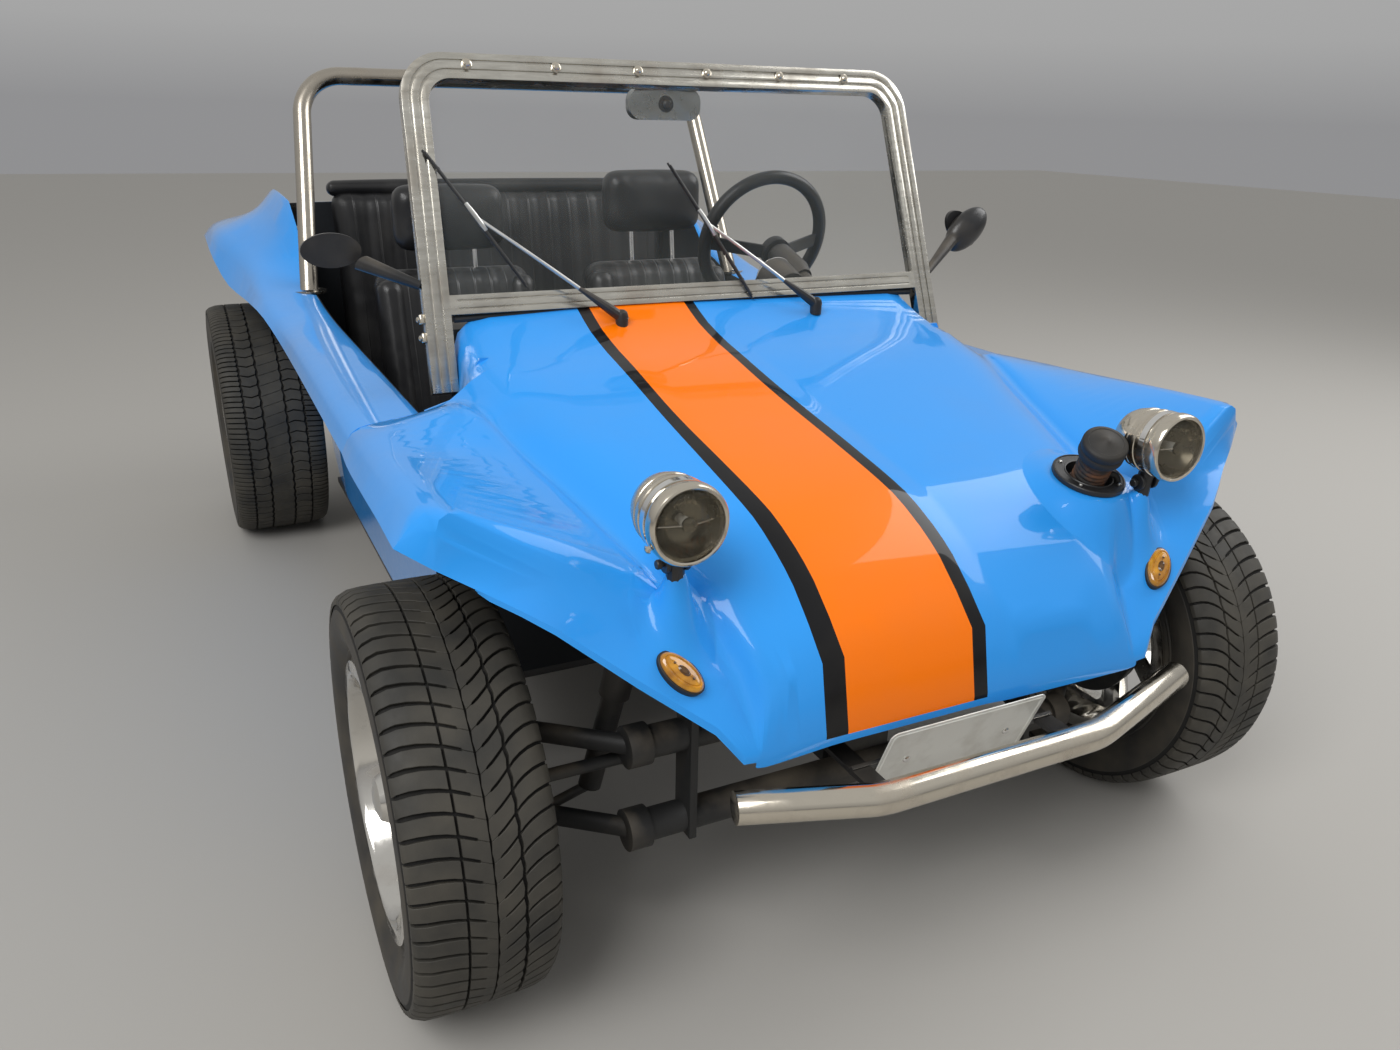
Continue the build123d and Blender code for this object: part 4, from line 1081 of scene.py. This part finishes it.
# %% Tail lamps
TAIL = at(690, 2451, 835)
TAIL_SHELL = ((0, 0), (37, 0), (38.6, 1), (39, 3), (39, 15), (37.5, 17), (34, 17.4), (34, 14), (0, 14))
TAIL_LENS = ((0, 13), (33.6, 13), (33.6, 19), (32.4, 23.5), (30, 26.4), (24, 29), (23, 28.2), (12, 30.6),
             (11, 29.8), (0, 31.4))
for name, profile, finish in (("rings", TAIL_SHELL, bright_chrome), ("lenses", TAIL_LENS, red_lens)):
    both_sides([turned(profile, TAIL, Y_AXIS, Z_AXIS, 56)], "tail_lamp_" + name, finish, "tail_lamps")

# %% [markdown]
# ## Seats in black vinyl
# The seats are foam in vinyl, sewn in upright pleats between plain, fatter sides. A sewn cushion is never a
# box: it swells between its seams. So each pad starts a little smaller than its place, is remeshed into even
# squares, and is blown up by the cloth solver for a moment, with its movement kept within a few millimetres.
# The pleats come after that, because a remesh would fill them: each strip between two seams is crowned, and
# the seam itself is drawn in by a bump.

# %% Vinyl


def vinyl_finish(name, pleats=None, middle=0.0):
    """Worn black vinyl with a leather grain; pleats (half width, spacing) run up the middle of the pad."""
    material, tree, shader = finish_of(name, Specular_IOR_Level=0.45)
    x = xyz(tree, spot(tree))[0]
    grain = shade(tree, "ShaderNodeTexVoronoi", None, Vector=spot(tree), Scale=420.0)
    creases = noise(tree, 30, 6)
    height = grain * 0.25 + creases * 0.5
    if pleats:
        half, spacing = pleats
        across = x - middle
        phase = ((across / spacing + 100.5).math("FRACT") - 0.5).math("ABSOLUTE")
        seam = (1 - ramp(phase * spacing, 0.0006, 0.0030)) * (across.math("ABSOLUTE") < half)
        height = height - seam * 3.0
    worn = ramp(noise(tree, 8, 5), 0.45, 0.75)
    plug(tree, shader.inputs["Base Color"], mixed(tree, worn * 0.5, (0.012, 0.012, 0.013), (0.035, 0.033, 0.031)))
    plug(tree, shader.inputs["Roughness"], creases * 0.18 + worn * 0.12 + 0.24)
    bumped(tree, shader, height, 0.45, 0.0012)
    return material


# %% Stuffing a pad
PAD_VOXEL, BENCH_VOXEL = 0.010, 0.0125
CLOTH_FRAMES, CLOTH_PRESSURE = 15, 4


def pad(centre, size, tilt=0.0, puff=0.008, corner=0.05, voxel=PAD_VOXEL):
    """A cushion from millimetres: a rounded box that the cloth solver swells by a few millimetres."""
    shrink = puff * 0.75
    half = [s / 2000 - shrink for s in size]
    bpy.ops.mesh.primitive_cube_add(size=2, location=(0, 0, 0))
    piece = bpy.context.object
    edit(piece)
    bpy.ops.transform.resize(value=half)
    done(piece)
    applied(piece, "BEVEL", width=min(corner, min(half) * 0.85), segments=5)
    applied(piece, "REMESH", mode="VOXEL", voxel_size=voxel)
    before = [vertex.co.copy() for vertex in piece.data.vertices]
    alone(piece)
    piece.modifiers.new("stuffing", "CLOTH")
    settings = piece.modifiers["stuffing"].settings
    settings.use_pressure, settings.uniform_pressure_force = True, CLOTH_PRESSURE
    settings.effector_weights.gravity = 0
    settings.quality = 4
    bpy.context.scene.frame_set(1)
    for step in range(2, CLOTH_FRAMES + 1):
        bpy.context.scene.frame_set(step)
    bpy.ops.object.modifier_apply(modifier="stuffing")
    bpy.context.scene.frame_set(1)
    for start, vertex in zip(before, piece.data.vertices):
        move = vertex.co - start
        if move.length > puff:
            vertex.co = start + move * (puff / move.length)
    piece.data.transform(Matrix.Translation(at(*centre)) @ Matrix.Rotation(-math.radians(tilt), 4, "X"))
    return piece


def pleated(piece, middle, half, spacing, depth, facing):
    """Crowns the strips between upright seams on the faces that look along a direction."""
    facing = Vector(facing)
    normals = [vertex.normal.copy() for vertex in piece.data.vertices]
    for vertex, normal in zip(piece.data.vertices, normals):
        across = vertex.co.x - middle
        if abs(across) < half and normal.dot(facing) > 0.35:
            phase = (across / spacing + 0.5) % 1 - 0.5
            drop = (2 * abs(phase)) ** 2.2
            vertex.co -= normal * depth * drop
    return piece


def finished_pad(piece, name, finish, stands_for):
    """Subdivides a pad once, shows it in its node's place and smooths it."""
    applied(piece, "SUBSURF", levels=1, render_levels=1)
    show(piece, name, finish, CHASSIS, stands_for, 0)
    alone(piece)
    bpy.ops.object.shade_smooth()
    return piece


# %% Front seats
SEAT_X = 275
REST_DROP = 32
SEAT_PLEATS = (0.125, 0.042)
vinyl_plain = vinyl_finish("vinyl_plain")
squab = pad((SEAT_X, 1045, 335), (410, 490, 170))
back = pad((SEAT_X, 1325, 640), (410, 110, 500), 14)
rolls = [pad((SEAT_X + dx, 1015, 383), (70, 400, 88), 0, 0.005, 0.03) for dx in (-170, 170)]
wings = [pad((SEAT_X + dx, 1292, 640), (70, 88, 440), 14, 0.004, 0.03) for dx in (-166, 166)]
left_seat = {
    "squab": pleated(squab, mm(SEAT_X), *SEAT_PLEATS, 0.005, (0, 0, 1)),
    "back": pleated(back, mm(SEAT_X), *SEAT_PLEATS, 0.005, (0, -1, 0.2)),
    "headrest": pad((SEAT_X, 1380, 1024), (282, 94, 165), 0, 0.006, 0.045),
    "squab_rolls": joined(rolls), "back_wings": joined(wings)}
right_seat = {}
for part, piece in left_seat.items():
    drop = REST_DROP if part == "headrest" else 0
    right_seat[part] = twin(piece, Matrix.Translation((mm(-2 * SEAT_X), 0, mm(-drop))))
for side, middle, seat in (("left", SEAT_X, left_seat), ("right", -SEAT_X, right_seat)):
    vinyl_seat = vinyl_finish("vinyl_seat_" + side, SEAT_PLEATS, mm(middle))
    for part, piece in seat.items():
        finish = vinyl_seat if part in ("squab", "back") else vinyl_plain
        finished_pad(piece, "seat_" + part + "_" + side, finish, ["seat_" + side])

for side, middle in (("left", SEAT_X), ("right", -SEAT_X)):
    posts = [tube([at(middle + dx, 1366, 820), at(middle + dx, 1380, 965)], 0.0065, False) for dx in (-60, 60)]
    show(joined(posts), "seat_posts_" + side, bright_chrome, CHASSIS, ["seat_" + side], 40)

# %% [markdown]
# ## The rear bench
# The bench is one wide base and one tall back, pleated all the way across, with a plain roll along its top.

# %% Rear bench
BENCH_PLEATS = (0.44, 0.062)
vinyl_bench = vinyl_finish("vinyl_bench", BENCH_PLEATS)
base = pad((0, 1627, 355), (940, 194, 210), 0, 0.008, voxel=BENCH_VOXEL)
back = pad((0, 1790, 714), (1000, 90, 648), 8, 0.008, voxel=BENCH_VOXEL)
base = pleated(base, 0, *BENCH_PLEATS, 0.005, (0, -0.3, 1))
back = pleated(back, 0, *BENCH_PLEATS, 0.006, (0, -1, 0.15))
roll = pad((0, 1834, 1032), (1000, 62, 46), 8, 0.004, 0.02)
finished_pad(base, "bench_base", vinyl_bench, ["rear_bench"])
finished_pad(back, "bench_back", vinyl_bench, ["rear_bench"])
finished_pad(roll, "bench_roll", vinyl_plain, ["rear_bench"])

# %% [markdown]
# ## Steering wheel, column and dashboard
# The wheel is thick and soft, black, with three flat spokes that dish down to its hub. The frame's solid has
# its shape; the dressed copy gets rounded edges, leather-like grain, and a plain cap over its hub. The
# dashboard is a plain black panel with two small gauges and one round instrument standing on its shelf, whose
# dials have only ticks.

# %% Wheel, column and dashboard
grained_black = vinyl_finish("grained_black")
dressed("steering_wheel", grained_black, 40, 0.002)
dressed("steering_column", satin_black, 30)
COLUMN_SLOPE = math.radians(18.6)
TO_DRIVER = Vector((0, math.cos(COLUMN_SLOPE), math.sin(COLUMN_SLOPE)))
HUB = at(335, 870, 974) - TO_DRIVER * 0.060
wheel_body = BODY_OF["steering_wheel"]
CAP = ((0, 10), (24, 10), (25, 14), (22, 18.5), (16, 21), (15.2, 20.2), (8, 21.6), (0, 22))
CAP_SCREW = ((0, 5), (2.6, 5), (2.6, 9.5), (1.8, 10.5), (0, 10.5))
show(turned(CAP, HUB, TO_DRIVER, X_AXIS, 40), "wheel_cap", satin_black, wheel_body, (), 30)
screws = [turned(CAP_SCREW, HUB + around(TO_DRIVER, math.pi * (0.5 + i) / 3) * 0.029, TO_DRIVER, X_AXIS, 10)
          for i in range(6)]
show(joined(screws), "wheel_cap_screws", bright_chrome, wheel_body, (), 30)

dash_black = dusty("dash_black", (0.016, 0.016, 0.017), 0.45, 0.45, 0.4, 500)
dressed("dashboard", dash_black, 35, 0.002)

MARK_HALF, MARK_FROM, MARK_TO, UNMARKED = 0.09, 0.78, 0.92, (-2.1, -1.04)
NEEDLE_ACROSS, NEEDLE_HALF, NEEDLE_TO, NEEDLE_TAIL = (0.64, 0.77), 0.0011, 0.8, -0.004


def dial_finish(name, centre, facing_x, facing_y, radius, ticks):
    """A black dial with pale ticks round its edge and a red needle, worked out from its centre."""
    material, tree, shader = finish_of(name, Roughness=0.25, Coat_Weight=1.0, Coat_Roughness=0.02)
    place = shade(tree, "ShaderNodeVectorMath", {"operation": "SUBTRACT"}, spot(tree), centre)
    u = shade(tree, "ShaderNodeVectorMath", {"operation": "DOT_PRODUCT"}, place, facing_x, out=1)
    v = shade(tree, "ShaderNodeVectorMath", {"operation": "DOT_PRODUCT"}, place, facing_y, out=1)
    out = (u * u + v * v).math("SQRT")
    angle = shade(tree, "ShaderNodeMath", {"operation": "ARCTAN2"}, v, u)
    phase = ((angle * (ticks / (2 * math.pi)) + 20.5).math("FRACT") - 0.5).math("ABSOLUTE")
    mark = (phase < MARK_HALF) * (out > radius * MARK_FROM) * (out < radius * MARK_TO)
    mark = mark * (1 - (angle > UNMARKED[0]) * (angle < UNMARKED[1]))
    from_needle = (u * NEEDLE_ACROSS[0] - v * NEEDLE_ACROSS[1]).math("ABSOLUTE")
    needle = (from_needle < NEEDLE_HALF) * (out < radius * NEEDLE_TO) * (v > NEEDLE_TAIL)
    colour = mixed(tree, mark, (0.010, 0.010, 0.011), (0.72, 0.72, 0.66))
    plug(tree, shader.inputs["Base Color"], mixed(tree, needle, colour, (0.70, 0.09, 0.02)))
    return material


POD_FRONT, POD_BACK = at(236, 572, 908), at(236, 640, 926)
POD_AXIS = (POD_BACK - POD_FRONT).normalized()
POD_UP = Vector((0, -POD_AXIS.z, POD_AXIS.y))
DIALS = (
    # name, centre, axis, upwards, radius, ticks
    ("pod", POD_BACK, POD_AXIS, POD_UP, 40, 28),
    ("gauge_60", at(60, 540, 815), Y_AXIS, Z_AXIS, 25.5, 12),
    ("gauge_130", at(130, 540, 815), Y_AXIS, Z_AXIS, 25.5, 12),
)
DIAL_RING = ((-3, -2), (1.5, -2), (2.5, 1), (1.2, 4), (-2, 4.2), (-3.5, 2), (-3, -2))
SWITCH = ((0, 0), (9, 0), (9, 3), (6, 4), (5, 5), (5, 12), (7.5, 14), (7.5, 19), (5, 21), (0, 21))
for name, centre, axis, upward, radius, ticks in DIALS:
    ring = turned([(radius + past, along) for past, along in DIAL_RING], centre, axis, upward, 56)
    show(ring, name + "_ring", bright_chrome, smooth=30)
    face = turned(((0, 0), (radius - 2, 0), (radius - 2, 1.4), (0, 1.4)), centre, axis, upward, 48)
    across = upward.cross(axis)
    show(face, name + "_dial",
         dial_finish(name + "_dial", tuple(centre), tuple(across), tuple(upward), mm(radius), ticks),
         smooth=30)
switches = [turned(SWITCH, at(x, 529, 800), Y_AXIS, Z_AXIS, 24) for x in (-60, -20, 200, 240)]
show(joined(switches), "dash_switches", satin_black, smooth=30)
dressed("hand_controls", satin_black, 35)
dressed("pedals", black_rubber, 35, 0.002)

# %% [markdown]
# ## Mirrors
# The outer mirrors are smooth plastic pods on tapered arms. Their frame solids are facets of an ellipsoid, so
# the dressed copies are smoothed, and each gets a glass let into its back. The inner mirror has a bright rim.

# %% Mirrors
mirror_glass = finish_of("mirror_glass", Base_Color=(0.85, 0.87, 0.88), Metallic=1.0, Roughness=0.03)[0]
mirror_black = dusty("mirror_black", (0.018, 0.018, 0.019), 0.30, 0.5, 0.2, 600)
dressed("outer_mirrors", mirror_black, 50)
mirror_silver = chrome_finish("mirror_silver", (0.34, 0.35, 0.34), 0.24, 0.4)
dressed("inner_mirror", mirror_silver, 40, 0.0015)
BALL = ((0, 0), (15, 0), (15, 3), (10, 4), (9, 8), (6, 11), (0, 12))
show(turned(BALL, at(-12, 661, 1262), -Y_AXIS, Z_AXIS, 32), "inner_mirror_ball", satin_black, smooth=30)
for name, x, behind, z, tilt in (("right", -672, 560, 1017, 0), ("left", 673, 560, 1020, 40)):
    lean = math.radians(tilt)
    glass = oval(at(x, behind + 15, z), (0, 1, 0), (math.cos(lean), 0, -math.sin(lean)), 50, 29,
                 ((0, 8.5), (2, 1.2), (2.5, -1.8), (10, 0)))
    glass.data.materials.append(mirror_black)
    glass.data.materials.append(mirror_glass)
    middle = at(x, behind + 23, z)
    second_finish(glass, lambda place, facing: facing.y > 0.95 and (place - middle).length < 0.045)
    show(glass, "mirror_glass_" + name, [], CHASSIS, (), 25)
bpy.ops.mesh.primitive_plane_add(size=1, location=at(-12, 683.5, 1262), rotation=(-math.pi / 2, 0, 0))
pane = bpy.context.object
edit(pane)
bpy.ops.transform.resize(value=(0.136, 1, 0.046))
bpy.ops.mesh.bevel(offset=0.020, segments=6, affect="VERTICES")
bpy.ops.mesh.select_all(action="SELECT")
bpy.ops.mesh.extrude_region_move(TRANSFORM_OT_translate={"value": (0, 0, 0.0012)})
done(pane, outward=True)
show(pane, "inner_mirror_glass", mirror_glass, CHASSIS, (), 30)

# %% [markdown]
# ## Hoop, bumper and plate
# Both tubes are chrome that has seen some years. The number plate is blank: a pale sheet with a pressed rim
# and two screws.

# %% Hoop, bumper, plate
hoop_chrome = chrome_finish("hoop_chrome", (0.46, 0.42, 0.36), 0.14, 0.45, (0.12, 0.09, 0.06))
dressed("roll_bar", hoop_chrome, 40)
# The second finish, satin black, is painted shade on the irons.
bumper = dressed("front_bumper", [old_chrome, satin_black], 40, 0.005)
BUMPER_BEND, BUMPER_RIGHT_SHARE, BUMPER_LEFT_SHARE = 0.190, 0.75, 0.96
for vertex in bumper.data.vertices:
    past = abs(vertex.co.x) - BUMPER_BEND
    if past > 0.01:
        share = BUMPER_LEFT_SHARE if vertex.co.x > 0 else BUMPER_RIGHT_SHARE
        side = 1 if vertex.co.x > 0 else -1
        vertex.co += Vector((-side * past, -past * 0.304, -past * 0.028)) * (1 - share)


def irons_in_painted_shade(middle, _):
    """Whether a place on the bumper belongs to its two irons, which are painted satin black as painted shade."""
    behind, across = middle.y - FRONT_AXLE_Y, abs(middle.x)
    return behind > -0.3455 and across < 0.190 or \
        behind > -0.404 and abs(across - 0.165) < 0.0153 and 0.3995 < middle.z < 0.4085


# The irons get satin black: painted shade on them.
second_finish(bumper, irons_in_painted_shade)


def plate_finish():
    """Pale reflective sheet, a little dirty along its foot."""
    material, tree, shader = finish_of("plate_pale", Coat_Weight=0.5)
    z = xyz(tree, spot(tree))[2]
    dirt = (1 - ramp(z, 0.285, 0.40)) * 0.5 + ramp(noise(tree, 22, 6), 0.5, 0.8) * 0.4
    plug(tree, shader.inputs["Base Color"], mixed(tree, dirt, (0.72, 0.72, 0.68), (0.30, 0.26, 0.20)))
    plug(tree, shader.inputs["Roughness"], dirt * 0.4 + 0.3)
    bumped(tree, shader, shade(tree, "ShaderNodeTexVoronoi", None, Vector=spot(tree), Scale=700.0), 0.08, 0.0004)
    return material


plate_pale = plate_finish()
PLATE_TILT = math.radians(22)
bpy.ops.mesh.primitive_cube_add(size=1, location=(0, 0, 0))
plate = bpy.context.object
edit(plate)
bpy.ops.transform.resize(value=(0.275, 0.0016, 0.200))
corners = plate.data.vertices
picked(plate, "EDGE", lambda edge: abs((corners[edge.vertices[0]].co - corners[edge.vertices[1]].co).y) > 0.001)
bpy.ops.mesh.bevel(offset=0.012, segments=6)
picked(plate, "FACE", lambda face: face.normal.y < -0.9)
for inset, lift in ((0.0045, 0), (0.0012, -0.0011), (0.0022, 0), (0.0012, 0.0011)):
    bpy.ops.mesh.inset(thickness=inset)
    bpy.ops.transform.translate(value=(0, lift, 0))
done(plate)
plate_place = Matrix.Translation(at(0, -335, 377)) @ Matrix.Rotation(PLATE_TILT, 4, "X")
plate.data.transform(plate_place)
show(plate, "plate_blank", plate_pale, CHASSIS, ["front_plate"], 25)
PLATE_SCREW = ((0, 0), (6, 0), (6, 1.2), (4.5, 3), (0, 3.2))
plate_front = plate_place.to_3x3() @ -Y_AXIS
plate_screws = [turned(PLATE_SCREW, plate_place @ Vector((x, -0.0008, 0.030)), plate_front, X_AXIS, 14)
                for x in (-0.09, 0.09)]
show(joined(plate_screws), "plate_screws", bright_chrome, CHASSIS, ["front_plate"], 30)

# %% [markdown]
# ## Fuel filler
# The filler is a dusty rubber neck in ribs, with a rusty clamp and a thick cap that has a groove round it,
# leaning out of a black ring in the hood. A short hose leaves it towards the lamp.

# %% Fuel filler


def rust_finish(name, clean, scale):
    """Rust in patches on what is left of a darker surface."""
    material, tree, shader = finish_of(name)
    patches = ramp(noise(tree, scale, 7), 0.42, 0.62)
    plug(tree, shader.inputs["Base Color"], mixed(tree, patches, clean, (0.14, 0.060, 0.028)))
    plug(tree, shader.inputs["Roughness"], patches * 0.25 + 0.62)
    bumped(tree, shader, noise(tree, 160, 6), 0.6, 0.0014)
    return material


rusty = rust_finish("rusty_rubber", (0.020, 0.018, 0.017), 40)
FILLER, FILLER_CAP = at(345, -188, 704), at(323, -235, 785)
LEAN = (FILLER_CAP - FILLER).normalized()
NECK = (FILLER_CAP - FILLER).length * 1000
RIB = ((25, 6), (26.8, 7.2), (28, 9.2), (28, 11), (26.8, 13), (25.2, 14))
CAP_LINE = ((0, -12), (33, -12), (35.4, -11), (36, -9), (36, -1), (35, 0.8), (34.2, 2), (35, 3.2), (36, 5), (36, 13),
            (35.2, 15.4), (33, 16.9), (28, 17), (27, 16), (8, 15.6), (6, 16.8), (0, 17))
CLAMP = ((28.4, 6), (29.6, 6.6), (29.6, 14.4), (28.4, 15), (26, 15), (26, 6), (28.4, 6))
RING = ((38, 13), (41, 13), (57, 14.4), (58, 16), (58, 21.5), (57, 23), (55, 23.4), (54, 22), (40, 21.6), (39, 23),
        (37.4, 22.4), (37.4, -8), (38, -8), (38, 13))
RING_SCREW = ((0, 21), (3, 21), (3, 24.0), (2, 25), (0, 25.2))
RING_TILT = Vector((0, -math.sin(math.radians(15)), math.cos(math.radians(15))))
BREATHER = (at(352, -212, 730), at(364, -224, 733), at(374, -226, 724), at(378, -222, 706), at(377, -216, 694))
ribs = [(radius, z + along) for z in range(2, int(NECK) - 16, 9) for radius, along in RIB]
neck = [(0, -55), (25, -55), *ribs, (25, NECK - 12), (0, NECK - 12)]
filler_cap = [(radius, NECK + along) for radius, along in CAP_LINE]


def ring_screw(angle):
    """A small screw on the filler's ring."""
    return turned(RING_SCREW, FILLER + around(RING_TILT, angle) * 0.048, RING_TILT, X_AXIS, 12)


for name, piece, finish, smooth in (
        ("neck", turned(neck, FILLER, LEAN, X_AXIS, 48), rusty, 40),
        ("cap", turned(filler_cap, FILLER, LEAN, X_AXIS, 64), black_rubber, 35),
        ("clamp", turned(CLAMP, FILLER, LEAN, X_AXIS, 48), rusty, 35),
        ("ring", turned(RING, FILLER, RING_TILT, X_AXIS, 72), dash_black, 30),
        ("screws", joined([ring_screw(angle) for angle in (0.5, 2.1, 3.7, 5.3)]), wiper_arm, 30),
        ("breather", tube(BREATHER, 0.0055), black_rubber, 40)):
    show(piece, "filler_" + name, finish, CHASSIS, ["fuel_filler"], smooth)

# %% [markdown]
# ## Chassis and engine
# Below the body everything is painted steel under a coat of garage dust, and cast metal gone grey. The
# frame's solids carry the shapes; the copies get soft edges, and finishes whose dust lies on what faces up.

# %% Finishes below the body
chassis_black = dusty("chassis_black", (0.016, 0.016, 0.016), 0.55, 0.75, 0.4, 250)
pan_black = dusty("pan_black", (0.020, 0.020, 0.021), 0.62, 0.35, 0.5, 120)
tank_black = dusty("tank_black", (0.018, 0.018, 0.019), 0.45, 0.6, 0.25, 300)
cast_grey = dusty("cast_grey", (0.17, 0.168, 0.16), 0.5, 0.45, 0.7, 260, 0.7, (0.06, 0.05, 0.04))
exhaust_rust = rust_finish("exhaust_rust", (0.070, 0.038, 0.024), 14)
for node, finish, bevel in (
        ("front_beam", chassis_black, 0.0012), ("front_dampers", chassis_black, 0.0008),
        ("knuckle_left", chassis_black, 0.0012), ("knuckle_right", chassis_black, 0.0012),
        ("track_rods", chassis_black, 0.0008), ("rear_axle", chassis_black, 0.0012),
        ("floor_pan", pan_black, 0.0012), ("fuel_tank", tank_black, 0), ("transaxle", cast_grey, 0.002),
        ("exhaust", exhaust_rust, 0.0012)):
    dressed(node, finish, 35, bevel)
engine = dressed("engine", [cast_grey, satin_black], 35, 0.001)


def on_sheet_metal(middle, _):
    """Whether a place on the engine belongs to the cooling shroud or the air filter's can."""
    behind = middle.y - FRONT_AXLE_Y
    return middle.z > 0.441 and behind < 2.4205 or \
        middle.z > 0.585 and behind > 2.33 and abs(middle.x + 0.110) < 0.06


second_finish(engine, on_sheet_metal)

# %% Plain finishes for what is left
PLAIN = {
    "chrome": bright_chrome,
    "plate_white": finish_of("plain_plate", Base_Color=(0.8, 0.8, 0.78), Roughness=0.3)[0],
    "engine_metal": dusty("plain_metal", (0.16, 0.16, 0.16), 0.55, 0.5),
}
plain_black = dusty("plain_black", (0.02, 0.02, 0.02), 0.5, 0.5)
for part in frame["record"]["subparts"]:
    node = nodes[part["node"]]
    node.data.materials.clear()
    node.data.materials.append(PLAIN.get(part["material_slot"], plain_black))
